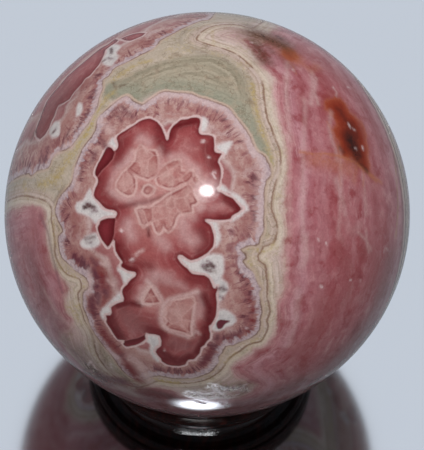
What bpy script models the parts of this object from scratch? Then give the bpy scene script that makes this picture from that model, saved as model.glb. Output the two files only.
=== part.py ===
"""A polished rhodochrosite sphere on a small turned wooden ring stand.

Everything is in metres with +Z up. The origin is the centre of the circle on which the stand rests.
The stone is one solid. The stand is one turned ring whose seat follows the stone's underside.
"""

import math

import bmesh
import bpy
from mathutils import Vector

# Driving dimensions
SPHERE_RADIUS = 0.033
SPHERE_LIFT = 0.0048  # clear height under the stone's lowest point
SEAT_GAP = 0.0003  # between the stone and the seat that carries it

BORE_RADIUS = 0.0145
FOOT_RADIUS = 0.0170
FOOT_HEIGHT = 0.0010
WAIST_RADIUS = 0.0162
WAIST_HEIGHT = 0.0021
SEAT_OUTER_RADIUS = 0.0172

# Each turned moulding is a round of (distance of its centre from the axis, height of its centre, its own radius)
LOWER_BEAD = (0.0183, 0.0043, 0.00085)
UPPER_BEAD = (0.0189, 0.0060, 0.00090)
RIM = (0.0184, 0.0080, 0.00120)

# Facet counts
SPHERE_SUBDIVISIONS = 5
STAND_SEGMENTS = 80
BEAD_POINTS = 5
RIM_POINTS = 7
COVE_POINTS = 4
SEAT_POINTS = 3

# Worked out from the driving dimensions
SPHERE_CENTRE_HEIGHT = SPHERE_LIFT + SPHERE_RADIUS

STONE_COLOUR = (0.46, 0.13, 0.13, 1.0)
WOOD_COLOUR = (0.035, 0.010, 0.008, 1.0)


def clear_scene():
    for obj in list(bpy.data.objects):
        bpy.data.objects.remove(obj, do_unlink=True)


def make_material(name, colour, roughness):
    material = bpy.data.materials.new(name)
    material.use_nodes = True
    shader = material.node_tree.nodes["Principled BSDF"]
    shader.inputs["Base Color"].default_value = colour
    shader.inputs["Roughness"].default_value = roughness
    shader.inputs["Metallic"].default_value = 0.0
    return material


def add_object(name, mesh, material):
    mesh.materials.append(material)
    obj = bpy.data.objects.new(name, mesh)
    bpy.context.scene.collection.objects.link(obj)
    return obj


def make_sphere():
    """The stone, ground and polished to a true sphere."""
    mesh = bpy.data.meshes.new("rhodochrosite_sphere")
    bm = bmesh.new()
    bmesh.ops.create_icosphere(bm, subdivisions=SPHERE_SUBDIVISIONS, radius=SPHERE_RADIUS)
    bm.to_mesh(mesh)
    bm.free()
    mesh.shade_smooth()
    sphere = add_object("rhodochrosite_sphere", mesh, make_material("polished_stone", STONE_COLOUR, 0.06))
    sphere.location = (0.0, 0.0, SPHERE_CENTRE_HEIGHT)
    return sphere


def round_points(moulding, start_deg, end_deg, count):
    """Points on a moulding's round, as (distance from the axis, height)."""
    centre_radius, centre_height, radius = moulding
    points = []
    for step in range(count):
        angle = math.radians(start_deg + (end_deg - start_deg) * step / (count - 1))
        points.append((centre_radius + radius * math.cos(angle), centre_height + radius * math.sin(angle)))
    return points


def cove_points():
    """The hollow under the lower bead: a quarter wave from the waist out to the bead's underside."""
    bead_radius = LOWER_BEAD[0]
    bead_bottom = LOWER_BEAD[1] - LOWER_BEAD[2]
    points = []
    for step in range(COVE_POINTS):
        share = step / COVE_POINTS
        radius = WAIST_RADIUS + (bead_radius - WAIST_RADIUS) * (1 - math.cos(share * math.pi / 2))
        height = WAIST_HEIGHT + (bead_bottom - WAIST_HEIGHT) * math.sin(share * math.pi / 2)
        points.append((radius, height))
    return points


def seat_height(radius):
    """Height of the seat at a distance from the axis: the stone's underside, less the gap."""
    return SPHERE_CENTRE_HEIGHT - math.sqrt((SPHERE_RADIUS + SEAT_GAP) ** 2 - radius**2)


def seat_points():
    """The seat, from the rim inwards to the bore."""
    points = []
    for step in range(SEAT_POINTS):
        radius = SEAT_OUTER_RADIUS + (BORE_RADIUS - SEAT_OUTER_RADIUS) * step / (SEAT_POINTS - 1)
        points.append((radius, seat_height(radius)))
    return points


def stand_outline():
    """The closed cross-section of the ring, anticlockwise from the inner edge of its base."""
    outline = [(BORE_RADIUS, 0.0), (FOOT_RADIUS, 0.0), (FOOT_RADIUS, FOOT_HEIGHT)]
    outline += cove_points()
    outline += round_points(LOWER_BEAD, -80, 75, BEAD_POINTS)
    outline += round_points(UPPER_BEAD, -70, 75, BEAD_POINTS)
    outline += round_points(RIM, -60, 100, RIM_POINTS)
    outline += seat_points()
    return outline


def make_stand():
    """The stand: its cross-section turned once round the axis."""
    mesh = bpy.data.meshes.new("ring_stand")
    bm = bmesh.new()
    corners = [bm.verts.new(Vector((radius, 0.0, height))) for radius, height in stand_outline()]
    edges = [bm.edges.new((corners[i - 1], corners[i])) for i in range(len(corners))]
    bmesh.ops.spin(
        bm,
        geom=corners + edges,
        cent=(0.0, 0.0, 0.0),
        axis=(0.0, 0.0, 1.0),
        angle=2 * math.pi,
        steps=STAND_SEGMENTS,
        use_merge=True,
    )
    bmesh.ops.recalc_face_normals(bm, faces=bm.faces)
    bm.to_mesh(mesh)
    bm.free()
    mesh.shade_smooth()
    mesh.set_sharp_from_angle(angle=math.radians(50))
    return add_object("ring_stand", mesh, make_material("dark_turned_wood", WOOD_COLOUR, 0.22))


def main():
    clear_scene()
    make_stand()
    make_sphere()


main()
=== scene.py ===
"""The looks of a polished rhodochrosite sphere resting on a small turned ring stand.

The stone's pattern is laid out as outlines and brush strokes in the pixels of the 424 x 450 photograph, and
for the sides that it doesn't show, in degrees from the camera's axis. Every vertex of the stone keeps its
distance to those lines, and the stone's material turns the distances into petals, lines and bands with grain.
Lengths in the pattern are in the photograph's pixels. Everything else is in metres, with +Z up.
"""
import math

import bpy
import numpy as np
from mathutils import Matrix, Vector

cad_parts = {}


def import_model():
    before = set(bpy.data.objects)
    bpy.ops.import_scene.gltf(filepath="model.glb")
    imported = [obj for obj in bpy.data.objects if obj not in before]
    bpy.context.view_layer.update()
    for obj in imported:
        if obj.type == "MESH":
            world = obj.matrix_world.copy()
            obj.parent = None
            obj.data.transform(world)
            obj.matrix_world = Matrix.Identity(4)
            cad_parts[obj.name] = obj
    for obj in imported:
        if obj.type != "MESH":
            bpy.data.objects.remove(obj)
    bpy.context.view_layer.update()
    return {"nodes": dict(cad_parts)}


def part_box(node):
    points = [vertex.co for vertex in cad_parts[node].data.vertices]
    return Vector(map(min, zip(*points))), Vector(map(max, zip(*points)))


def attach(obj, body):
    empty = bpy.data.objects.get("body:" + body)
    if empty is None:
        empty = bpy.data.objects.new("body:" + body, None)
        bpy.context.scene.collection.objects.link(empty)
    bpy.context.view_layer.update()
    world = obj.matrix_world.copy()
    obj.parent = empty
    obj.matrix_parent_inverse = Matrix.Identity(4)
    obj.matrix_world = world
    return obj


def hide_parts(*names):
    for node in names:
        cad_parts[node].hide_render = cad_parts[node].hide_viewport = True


# The photograph's frame and the camera that took it
PHOTO_WIDTH = 424
PHOTO_HEIGHT = 450
LENS_MM = 192.0
SENSOR_MM = 36.0
FOCAL_PIXELS = LENS_MM / SENSOR_MM * PHOTO_HEIGHT
CAMERA_ELEVATION = math.radians(50.3)
CAMERA_ROLL = math.radians(2.64)
CAMERA_DISTANCE_IN_RADII = 11.88
SPHERE_ASIDE = -0.0020  # of the camera's distance
SPHERE_UP = 0.0043

# The stone's mesh and the scale of its pattern
RADIUS_IN_PIXELS = 202.5
FACE_SPACING = 1.95
BACK_SPACING = 3.7
FACE_ENDS = math.radians(78)
BACK_BEGINS = math.radians(104)
LEAST_CHART_SCALE = 0.3

# Outlines of the double rosette and of what surrounds it, clockwise in the photograph's pixels
ROSETTE = [
    (95, 175), (95, 172), (96, 168), (98, 163.5), (101, 158.5), (103.5, 153.5), (105.7, 149), (107.8, 146.7),
    (110, 147), (112, 148.2), (114.3, 151.3), (116.3, 150), (118, 147), (118.2, 144), (117.3, 141), (116.4, 138),
    (117.6, 135.5), (121, 133), (125.2, 130.6), (130, 127.5), (135, 124.5), (138.6, 121.7), (142.2, 119.9),
    (146.5, 118.7), (150.2, 118.4), (154, 120), (157, 121.7), (159, 124), (161, 126.3), (162.6, 129.4),
    (163.6, 132.4), (164.8, 135), (166, 139), (167.3, 141), (168.6, 139), (169, 135.5), (169.7, 131.8),
    (171, 128.8), (173.3, 125.7), (176.4, 123.3), (180.7, 119.7), (184.4, 119.3), (188, 119), (190.5, 117.8),
    (194, 117.4), (197.8, 117.5), (200.2, 119), (200.5, 122.7), (199.6, 126.3), (198.7, 129.4), (199, 132.4),
    (200.5, 134.5), (204, 134.8), (208, 134.8), (212, 135.8), (213.9, 137.3), (214.3, 141.5), (214.5, 146.4),
    (214.2, 150), (215.4, 152.5), (218.5, 153), (222.7, 153.4), (221, 155.5), (218.5, 159.2), (217.9, 162.2),
    (219.7, 165.3), (220.9, 169.6), (221.2, 174), (220.9, 177), (220, 181), (219.3, 185), (216.5, 188),
    (217.5, 191.5), (221, 192.2), (225.8, 195.2), (230, 197), (233, 198.3), (236, 202), (238.6, 205),
    (240.4, 207.4), (243.7, 208.3), (241, 209.8), (238.6, 212.3), (235, 214), (232, 216), (230.6, 219),
    (225.8, 219.9), (219.7, 220.2), (213.6, 219.9), (208.7, 219), (205, 219.3), (205, 221), (208, 223.2),
    (210.5, 225), (211.8, 228), (212.7, 231.2), (213.9, 235), (214.2, 239), (213.9, 243.3), (213, 247),
    (210.5, 249.7), (207.5, 253), (202.6, 256), (197.8, 258.6), (193, 260), (190.5, 260.4), (187.4, 258.9),
    (184.4, 256.7), (181.3, 254.6), (178.3, 255.2), (177.4, 257.3), (179, 260.4), (181.3, 263.4), (184, 266),
    (187.4, 268.3), (189.8, 271.4), (192.3, 273.8), (197.5, 274.6), (204.5, 275.2), (209, 278), (211.6, 283.3),
    (213.4, 288), (215, 288.5), (217.4, 285.8), (217.8, 289.2), (216, 293.6), (216.3, 298), (217, 302.4),
    (216.7, 308.3), (216, 315.7), (214, 320), (211.2, 324.6), (209, 325.5), (209.3, 330.5), (210.4, 333.4),
    (210, 338.6), (206.8, 341.5), (204.5, 345.2), (201, 347.4), (199.8, 353.3), (195.7, 357.7), (194, 359.6),
    (189, 359.6), (187, 361.4), (185.4, 364.7), (179.5, 366.2), (172, 365.8), (167, 364.7), (161.8, 361.4),
    (160.7, 358.5), (157.4, 355), (155.5, 351.8), (157, 348.9), (161, 346), (161.4, 340.8), (159.6, 335.8),
    (155, 334.4), (148.3, 333.8), (145.9, 332.7), (145, 335.8), (145.9, 338.8), (143.5, 341), (139.8, 343.4),
    (135.5, 345.2), (131.3, 346), (127, 347), (124.6, 345.8), (122.8, 344), (124, 342.8), (124.6, 340.3),
    (121.5, 340), (118, 340), (116, 337.6), (113, 333.3), (110.6, 329), (108, 325.4), (106, 321.8),
    (106.9, 318), (105.4, 316.3), (106.3, 315), (110.3, 315.4), (111.8, 312.6), (111.2, 309.6), (110.9, 307),
    (113.6, 305.3), (117.3, 303.2), (120, 302.3), (123.4, 301.4), (124, 298.6), (123, 295.6), (122, 292.5),
    (122.5, 289), (124.6, 286.4), (127, 284.6), (128.8, 281.6), (131.3, 279), (135, 276.7), (136.5, 273.5),
    (135, 272), (131.3, 271.4), (127.6, 270.7), (124.6, 269), (121.5, 267), (120.3, 265.9), (122.8, 262.2),
    (121, 259.8), (118, 255.5), (115.5, 250.6), (114.8, 245.8), (114.8, 241), (113.3, 239.5), (110.6, 244),
    (107.8, 247.6), (105, 244), (102, 240.3), (99.6, 235.4), (97.8, 230.5), (97.5, 227), (99.3, 224),
    (100.2, 220.8), (104.5, 219), (108, 218), (112, 218), (115, 217.8), (116.3, 216), (117.3, 213.5),
    (116.4, 211.7), (113, 210), (109.4, 209.8), (105.7, 208.6), (102.7, 206.2), (100.5, 203.4), (97.8, 200.7),
    (95, 198.3), (93.5, 195.2), (94.2, 191.5), (95.7, 187.2), (97.2, 184.8), (98.1, 181), (97.5, 178),
]
HALO = [
    (58.5, 199), (61.5, 194.5), (65.6, 190), (70.7, 184), (72.8, 178), (74.8, 167.6), (78, 159.4), (83, 148),
    (90, 139), (95.3, 130.7), (96.4, 123.6), (98.4, 117.4), (103.5, 112.3), (111, 106), (120.6, 98.5), (127, 96),
    (133.7, 101.3), (142.4, 104.6), (149, 100.3), (155.5, 96), (163.5, 91.6), (176, 92.6), (191, 93.7),
    (198, 97), (206.7, 99.2), (215.4, 102.4), (224, 105.7), (230.6, 110), (235.6, 117.4), (241.3, 124),
    (247, 131.8), (251, 139.5), (253.8, 146.2), (257.6, 152), (264.3, 156), (267.2, 161.6), (270, 166.4),
    (271, 175), (267.2, 179.8), (265.3, 184.6), (264.3, 191.3), (264.3, 200), (263.9, 205.7), (264.3, 211.5),
    (263.4, 218), (264, 225), (263.5, 231), (260.4, 237.3), (257.5, 245), (248.8, 245.5), (240.7, 249.8),
    (245, 253.7), (246, 258.5), (243, 261.3), (247, 267), (252.7, 272), (256, 279.6), (259.4, 286.3),
    (261.3, 289), (259, 293), (260.4, 300), (261, 306.5), (261.8, 312.3), (260, 320), (260.4, 326),
    (258.5, 331.5), (254, 336), (247.9, 339.2), (240, 342), (233.5, 345.5), (226, 346), (222, 353), (219, 357),
    (218.6, 362), (215.6, 366.6), (212, 371), (203, 375.4), (190, 378.6), (174, 378.5), (160, 376), (151, 377),
    (143, 380), (134, 379), (126, 374), (119, 366), (113, 357), (107, 350), (101.3, 343), (97.4, 337.7),
    (91, 327.4), (87.2, 317.2), (83.3, 307), (83, 293), (88.5, 288), (87.2, 280), (82, 275), (75.6, 271),
    (69.2, 264.6), (61.5, 257), (59, 248), (58.3, 236.4), (62.8, 231.3), (59, 222.3), (55.1, 212), (56.4, 204.4),
]
OUTER_LINE = [
    (254, 27.8), (241, 25.6), (230.6, 24.5), (217.6, 25.3), (208.8, 27.8), (202.3, 31.6), (198, 36), (197, 40),
    (204.5, 43), (213, 45.8), (224, 49), (235, 53.4), (242.6, 58.8), (250.3, 65.4), (256.8, 73), (261.2, 79.6),
    (263.3, 87.2), (263.9, 98), (267.2, 118.4), (271, 127), (274, 136.6), (276.8, 143.3), (279.7, 151),
    (280.7, 161.6), (280.2, 171.2), (277.8, 177), (275, 184.6), (273, 193.2), (271.5, 203), (272, 211.5),
    (275, 218.2), (277.2, 226), (277, 233), (274.8, 240.2), (271.9, 243.6), (263.3, 247), (261, 251.7),
    (258, 255.6), (259.4, 261.3), (265.2, 265.2), (266.2, 274), (267.6, 285.4), (267, 296), (269, 304.6),
    (270, 312.3), (267.1, 320), (268, 327.7), (264.2, 336.3), (261, 341.2), (253.7, 343), (246, 346),
    (240, 351), (232, 356), (226, 362), (222, 369), (215, 375), (205, 380), (190, 383), (172, 383), (158, 381),
    (148, 385), (136, 387), (122, 382), (110, 372), (100, 360), (95, 348), (94, 339), (89.7, 328.7), (84.6, 321),
    (81.4, 309.5), (78.8, 303), (78.2, 293), (81.4, 289), (80, 280), (74, 277), (68, 275), (61.5, 268.5),
    (57, 259.5), (55, 253), (55, 244), (53.8, 235), (52.6, 226), (51.3, 219.7), (51.5, 209.5), (47, 202),
    (36, 198), (24, 196), (14, 198),
]
CREAM_EDGE = [
    (262, 40), (248, 38), (240, 40), (246, 46), (253.5, 53.4), (259, 65.4), (265.5, 71.9), (272, 79), (272.6, 98),
    (276, 113.6), (279.7, 126), (282.6, 137.6), (285, 151), (286.4, 162.5), (285.5, 174), (284.5, 185.6),
    (283.5, 200), (282.6, 214.4), (284.5, 227), (283.5, 239.2), (281.5, 250), (281.5, 258.5), (283.5, 272),
    (283.5, 279.6), (282.5, 287.3), (279.6, 293), (275.8, 299.8), (275.3, 309.4), (275.3, 322), (272, 331.5),
    (268, 339.2), (262.3, 346), (252.7, 348), (251.7, 352), (243, 357.5), (234.4, 362.3), (229.6, 370),
    (236, 378), (248, 385), (250, 391), (236, 397), (215, 398), (190, 396), (176, 390), (160, 386), (146, 386),
    (134, 391), (118, 388), (104, 380), (90, 372), (78, 360), (66, 346), (64, 337), (72, 330), (74, 320),
    (68, 312), (66, 300), (69, 290), (67, 282), (61, 275), (54, 265), (50, 254), (48, 242), (47, 226), (46, 212),
    (40, 205), (30, 203), (22, 205), (13, 208),
]
# Crimson petals that the others partly cover
UNDER_PETALS = [
    [(94, 174), (96, 165), (101, 156), (105, 148), (108.5, 145), (113, 149), (114.5, 153), (112.5, 159),
     (108, 164.5), (102, 170), (97, 177)],
    [(96, 228), (98, 221), (104, 217), (112, 216), (115.5, 219), (114.5, 226), (114, 234), (112.3, 240),
     (108, 249), (101, 243), (98, 236)],
    [(118, 349), (124, 341.5), (130, 339.8), (137, 338.5), (143, 336), (147, 333), (151, 342), (143, 348),
     (133, 351), (124, 353)],
]
# The zones of olive stone around the rosettes, and the snow-white patches and dark spots in the halo
OLIVE_ZONES = [
    [(106, 97), (104, 88), (112, 82), (124, 79), (136, 72), (150, 66), (165, 61), (180, 57.5), (200, 55.5),
     (215, 56.5), (228, 62), (240, 71), (247, 84), (250, 100), (255, 115), (259, 130), (265, 143), (270, 155),
     (272, 166), (266, 160), (255, 152), (250, 142), (243, 128), (233, 116), (222, 106), (205, 100), (190, 95),
     (170, 94), (152, 100), (142, 106), (130, 100), (118, 101)],
]
SNOW_PATCHES = [
    [(89, 188), (92.5, 192), (94, 197), (99, 203), (104, 209), (112, 211), (117, 213.5), (113, 216.5),
     (103, 218), (98, 224), (94, 223), (89, 217), (83, 215), (77, 212.5), (75, 207), (77, 202), (83, 199.5)],
    [(79.5, 243), (83, 238), (89.7, 234), (96, 232.5), (99, 237), (100.5, 244), (92, 249), (83, 248)],
    [(215, 147), (222, 143), (228, 141), (232.5, 141), (232, 145), (229, 150), (226, 155), (221, 159), (222, 154)],
    [(200.5, 117), (205, 117), (208, 120), (208.5, 124), (207, 128), (204.5, 132), (200, 133.5), (199.5, 128)],
    [(189, 271), (183, 265), (179, 259), (178.5, 256), (186, 259), (192, 261.5), (200, 258.5), (209, 254),
     (222, 254.5), (224.5, 262), (224, 272), (222, 278), (227, 282), (229, 288), (226, 294), (221, 301),
     (217, 301), (217, 292), (213, 285), (209, 277.5), (202, 274)],
    [(217, 311), (224, 309), (230, 311.5), (235, 316), (236.5, 321), (233, 325), (226, 328), (220, 331),
     (214, 331), (211, 328), (214, 321)],
    [(117, 294), (120.5, 292), (123, 296), (124.5, 300), (118, 303.5), (111, 307), (111.5, 313), (106, 315),
     (105, 321), (101.5, 318), (100, 314), (101.5, 309), (106, 305), (111, 300)],
    [(118, 266), (121, 268), (128, 271.5), (136, 273), (134.5, 277), (130, 280.5), (126.5, 285.5), (123, 283),
     (122, 279), (120, 274), (117, 270)],
    [(108, 145), (109, 142), (113, 137), (116.5, 139), (118, 144), (117, 148), (114.5, 150.5), (111, 147.5)],
    [(228, 192), (235, 193), (243, 198), (248, 206), (249.5, 210), (245, 213), (238, 219), (231, 222),
     (231, 218), (238, 213), (243.5, 208.5), (238, 203), (233, 197.5)],
    [(206, 221.5), (217, 222), (219, 229), (221.5, 238), (219, 244), (215.5, 248), (214, 240), (212, 229)],
    [(146.5, 332), (158, 334.5), (161.5, 339), (160.5, 344.5), (156, 348), (155, 351), (159, 356), (161, 361),
     (157.5, 362), (152.5, 357), (149, 350), (150, 345), (146, 341)],
    [(217, 186), (222, 184), (227, 188), (231, 193), (224, 193), (217, 190)],
    [(105, 47), (110, 45), (117, 44), (121, 47), (117, 52), (119, 57), (115, 62), (112, 66), (106, 66), (102, 63),
     (102, 58), (106, 53)],
    [(50, 136), (49, 130), (52, 125), (56, 121), (60, 122), (60.5, 130), (59, 136), (54, 138)],
    [(76, 116), (76, 109), (78, 103), (81, 102.5), (83, 106), (82, 112), (79, 116)],
]
DARK_SPOTS = [
    [(217, 322), (220, 319.5), (224, 320), (229.5, 320.5), (230, 322), (226, 323.5), (224, 325.5), (222, 328.5),
     (218, 329), (216.2, 325)],
]
# Crystals cut across in the rosette's two hearts, and the rusty patches on the right
HEARTS = [
    [(128, 169), (132, 165), (136, 160), (137, 152), (140.5, 146), (143.5, 148.5), (146.5, 154), (149.5, 151),
     (155, 151.5), (157, 157), (158, 166), (156, 175), (148, 179), (140, 176.5), (134, 172.5)],
    [(128, 169.5), (123, 173), (120, 178), (117, 183), (117, 188), (121, 192), (128, 195.5), (133, 194),
     (135.5, 187), (135, 179), (131.5, 173)],
    [(159.5, 173), (162, 169), (166, 165), (173, 161.5), (179.7, 160.3), (180.5, 166), (180.7, 171.5), (192, 171),
     (192.3, 176), (188, 181), (180, 184), (176, 187), (168, 188), (158, 184), (156.5, 179)],
    [(193, 178), (195.5, 176.5), (198, 179), (196, 183), (193.5, 181)],
    [(143, 192), (145, 187), (149, 185.5), (154, 189), (152, 193.5), (147, 195)],
    [(136.5, 210), (141, 208), (150, 209), (156, 204), (160, 202), (166, 197), (173, 193), (181, 189), (188, 184.5),
     (191.5, 188), (193.5, 195), (197.5, 202), (195, 204), (191, 204.5), (192, 211.5), (185, 212.5), (179, 214),
     (176, 218), (174.5, 224), (171.5, 229), (168, 231.5), (165, 228), (163.5, 223.5), (162, 230), (159, 233.5),
     (156, 231), (154, 225), (152, 219.5), (148, 222.5), (143.5, 226.5), (141, 222.5), (139, 216)],
    [(151, 287.5), (154.5, 294), (159.5, 302), (151, 303), (143.3, 302.5), (146, 296)],
    [(165.5, 316.5), (168, 313), (166, 310), (168.5, 307), (171, 305.5), (173, 301.5), (182, 300), (192.5, 297.7),
     (194, 303), (192, 312), (191, 320), (190, 327), (190.5, 335), (184, 332), (176, 330), (170, 328.5),
     (165.5, 325), (168.5, 321.5)],
]
RUSTY_PATCHES = [
    [(325, 100), (332, 97), (340, 98), (346, 104), (350, 112), (355, 116), (361, 121), (365, 130), (367, 140),
     (368, 150), (369, 160), (371, 172), (377, 181), (368, 175), (360, 167), (352, 160), (345, 159), (340, 156),
     (338, 150), (338, 143), (335, 136), (333, 130), (336, 124), (332, 116), (326, 110), (324, 104)],
    [(281, 48), (287, 47), (293, 50), (298, 55), (299, 61), (294, 63), (287, 60), (282, 54)],
]
# The second rosette, on the upper left limb: its long petals, and its halo up to where the limb hides it
LIMB_PETALS = [
    [(40, 139.4), (45.1, 134.8), (49.2, 127.7), (51.3, 121.5), (54.3, 116), (56, 110.2), (58.4, 105.1),
     (63.6, 103), (69.7, 99), (72.8, 93.8), (76, 89.7), (82, 83.6), (85.1, 78.5), (90.2, 75.4), (95.3, 69.2),
     (98.8, 65), (101, 61), (104.3, 54.5), (105.4, 50.1), (110.8, 45.8), (116.3, 42.5), (118.7, 40),
     (115, 39), (107.6, 44.5), (101, 48), (94.5, 53), (88, 58.5), (81.4, 64), (74.9, 69.5), (67, 76.5),
     (60, 85), (52, 94), (47, 101), (43, 110), (40.5, 117.4), (37.4, 125.6), (35.2, 132), (36.6, 137)],
    [(120.6, 38.6), (127, 36), (133.7, 33.8), (140.3, 32.7), (145.7, 33), (142.4, 36), (136, 38.7),
     (130.5, 40.9), (125, 40.5)],
]
LIMB_HALO_SEEN = [
    (25, 174), (31, 176), (38, 170.5), (48, 168), (52.3, 158.4), (57.4, 152.3), (65, 150), (71.8, 146), (76, 140),
    (82, 131.8), (88.2, 123.6), (92.3, 115.4), (97.4, 106), (99.4, 96), (102.5, 89), (102.8, 80.5), (109, 75.4),
    (114, 68.5), (120.6, 65), (127.2, 62), (134.8, 58), (142.4, 54), (150.1, 50.5), (154.4, 47.5), (158, 43.6),
    (161, 40), (168.6, 36), (175, 32.7), (180.6, 29.4), (190.4, 25), (201.3, 20.7), (212, 17.4),
]
# What the limb hides, as (bearing on the photograph in degrees, degrees from the camera's axis)
LIMB_HALO_HIDDEN = [(88, 92), (93, 104), (103, 118), (118, 130), (138, 135), (158, 130), (172, 114), (176, 96),
                    (172, 80)]
OUTER_LINE_HIDDEN = [(178, 96), (177, 116), (162, 134), (138, 141), (114, 137), (98, 124), (86, 108), (79, 94),
                     (74, 82)]
CREAM_EDGE_HIDDEN = [(181, 97), (181, 118), (164, 139), (138, 147), (111, 142), (93, 128), (81, 110), (74, 95),
                     (70, 83)]


def chart_scale(chart):
    """How much smaller a length is on the stone than on its chart, from the chart's own stretch."""
    reach = np.hypot(chart[:, 0], chart[:, 1]) / (2.0 * RADIUS_IN_PIXELS)
    return np.clip(1.0 / (1.0 + reach**2), LEAST_CHART_SCALE, 1.0)


def chart_of_directions(directions):
    """The stereographic chart about the third axis: true to size at its middle, and true to shape everywhere."""
    stretch = 2.0 * RADIUS_IN_PIXELS / np.maximum(1.0 + directions[:, 2], 1e-4)
    return directions[:, :2] * stretch[:, None]


def chart_of_photo(pixels):
    """Where the camera's rays through some pixels meet the stone, on the chart about the camera's axis."""
    pixels = np.asarray(pixels, float)
    rays = np.stack([
        (pixels[:, 0] - PHOTO_WIDTH / 2) / FOCAL_PIXELS,
        (PHOTO_HEIGHT / 2 - pixels[:, 1]) / FOCAL_PIXELS,
        -np.ones(len(pixels)),
    ], axis=1)
    rays /= np.linalg.norm(rays, axis=1)[:, None]
    centre = CAMERA_DISTANCE_IN_RADII * np.array([SPHERE_ASIDE, SPHERE_UP, -1.0])
    along = rays @ centre
    depth = np.maximum(along**2 - centre @ centre + 1.0, 0.0)
    directions = rays * (along - np.sqrt(depth))[:, None] - centre
    directions /= np.linalg.norm(directions, axis=1)[:, None]
    return chart_of_directions(directions)


def chart_of_bearings(places):
    """The chart points of places given as (bearing, degrees from the axis)."""
    bearing, away = np.radians(np.asarray(places, float)).T
    reach = 2.0 * RADIUS_IN_PIXELS * np.tan(away / 2.0)
    return np.stack([reach * np.cos(bearing), reach * np.sin(bearing)], axis=1)


def rounded(outline, closed=True, pieces=3):
    """The outline with more points, on a smooth curve through its own."""
    count = len(outline)
    places = np.arange(count if closed else count - 1)
    corners = []
    for shift in (-1, 0, 1, 2):
        picked = places + shift
        corners.append(outline[picked % count if closed else np.clip(picked, 0, count - 1)])
    before, start, end, after = corners
    rows = []
    for share in np.arange(pieces) / pieces:
        rows.append(0.5 * (
            2.0 * start + (end - before) * share
            + (2.0 * before - 5.0 * start + 4.0 * end - after) * share**2
            + (3.0 * start - before - 3.0 * end + after) * share**3
        ))
    curve = np.stack(rows, axis=1).reshape(-1, 2)
    return curve if closed else np.vstack([curve, outline[-1:]])


def outline_field(chart, outline):
    """Each chart point's distance to a closed outline, negative inside it, and how far along it is met."""
    nearest = np.full(len(chart), np.inf)
    along = np.zeros(len(chart))
    inside = np.zeros(len(chart), bool)
    travelled = 0.0
    for start, end in zip(outline, np.roll(outline, -1, axis=0)):
        edge = end - start
        length = math.hypot(*edge)
        if length == 0.0:
            continue
        offset = chart - start
        share = np.clip(offset @ edge / length**2, 0.0, 1.0)
        gap = np.hypot(offset[:, 0] - share * edge[0], offset[:, 1] - share * edge[1])
        closer = gap < nearest
        nearest[closer] = gap[closer]
        along[closer] = travelled + share[closer] * length
        if start[1] != end[1]:
            spans = (start[1] > chart[:, 1]) != (end[1] > chart[:, 1])
            crossing = start[0] + (chart[:, 1] - start[1]) * edge[0] / edge[1]
            inside ^= spans & (chart[:, 0] < crossing)
        travelled += length
    return np.where(inside, -nearest, nearest), along


class Pattern:
    """The stone's fields, one value a vertex: distances to the pattern's outlines and depths of its strokes."""

    OUTLINED = ("petal", "under", "heart", "halo", "outer", "cream", "olive", "snow", "spot", "rust")
    PAINTED = ("milk", "pale", "red", "rose", "plum", "maroon", "dark_tone_and_painted_shade", "brown", "ochre", "amber", "core", "painted_sparkle", "vug")

    def __init__(self, directions):
        self.directions = directions
        self.fields = {name: np.full(len(directions), 400.0) for name in self.OUTLINED}
        self.fields.update({name: np.zeros(len(directions)) for name in self.PAINTED})
        self.along = np.zeros(len(directions))
        self.turn_to((0.0, 0.0, 1.0))

    def turn_to(self, axis):
        """Makes the chart about this axis the one that the next outlines and strokes are on."""
        forward = Vector(axis).normalized()
        side = Vector((0.0, 1.0, 0.0)).cross(forward).normalized()
        self.turn = np.array([side, forward.cross(side), forward]).T
        self.chart = self.chart_in_turn(self.directions)
        self.scale = chart_scale(self.chart)

    def chart_in_turn(self, directions):
        """Some directions in the camera's axes, on the chart that is in use."""
        return chart_of_directions(np.asarray(directions) @ self.turn)

    def lay(self, name, outline):
        """Joins a closed outline to a field."""
        distance, along = outline_field(self.chart, outline)
        distance *= self.scale
        nearer = distance < self.fields[name]
        self.fields[name][nearer] = distance[nearer]
        if name == "halo":
            self.along[nearer] = along[nearer]
        return distance

    def keep_least(self, name, distance):
        """Joins to a field a distance that is already worked out."""
        self.fields[name] = np.minimum(self.fields[name], distance)

    def paint(self, name, points, width, strength=1.0):
        """Lays a soft stroke of some width through points on the chart."""
        points = np.asarray(points, float)
        field = self.fields[name]
        stretch = 1.0 / self.scale
        reach = 2.6 * width * stretch
        low = points.min(axis=0)
        high = points.max(axis=0)
        x, y = self.chart.T
        near = (x > low[0] - reach) & (x < high[0] + reach) & (y > low[1] - reach) & (y < high[1] + reach)
        near = np.nonzero(near)[0]
        if not len(near):
            return
        spot = self.chart[near]
        nearest = np.hypot(*(spot - points[0]).T)
        for start, end in zip(points[:-1], points[1:]):
            edge = end - start
            offset = spot - start
            share = np.clip(offset @ edge / (edge @ edge), 0.0, 1.0)
            nearest = np.minimum(nearest, np.hypot(*(offset - share[:, None] * edge).T))
        depth = strength * np.exp(-((nearest * self.scale[near] / width) ** 2))
        field[near] = np.maximum(field[near], depth)


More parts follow.
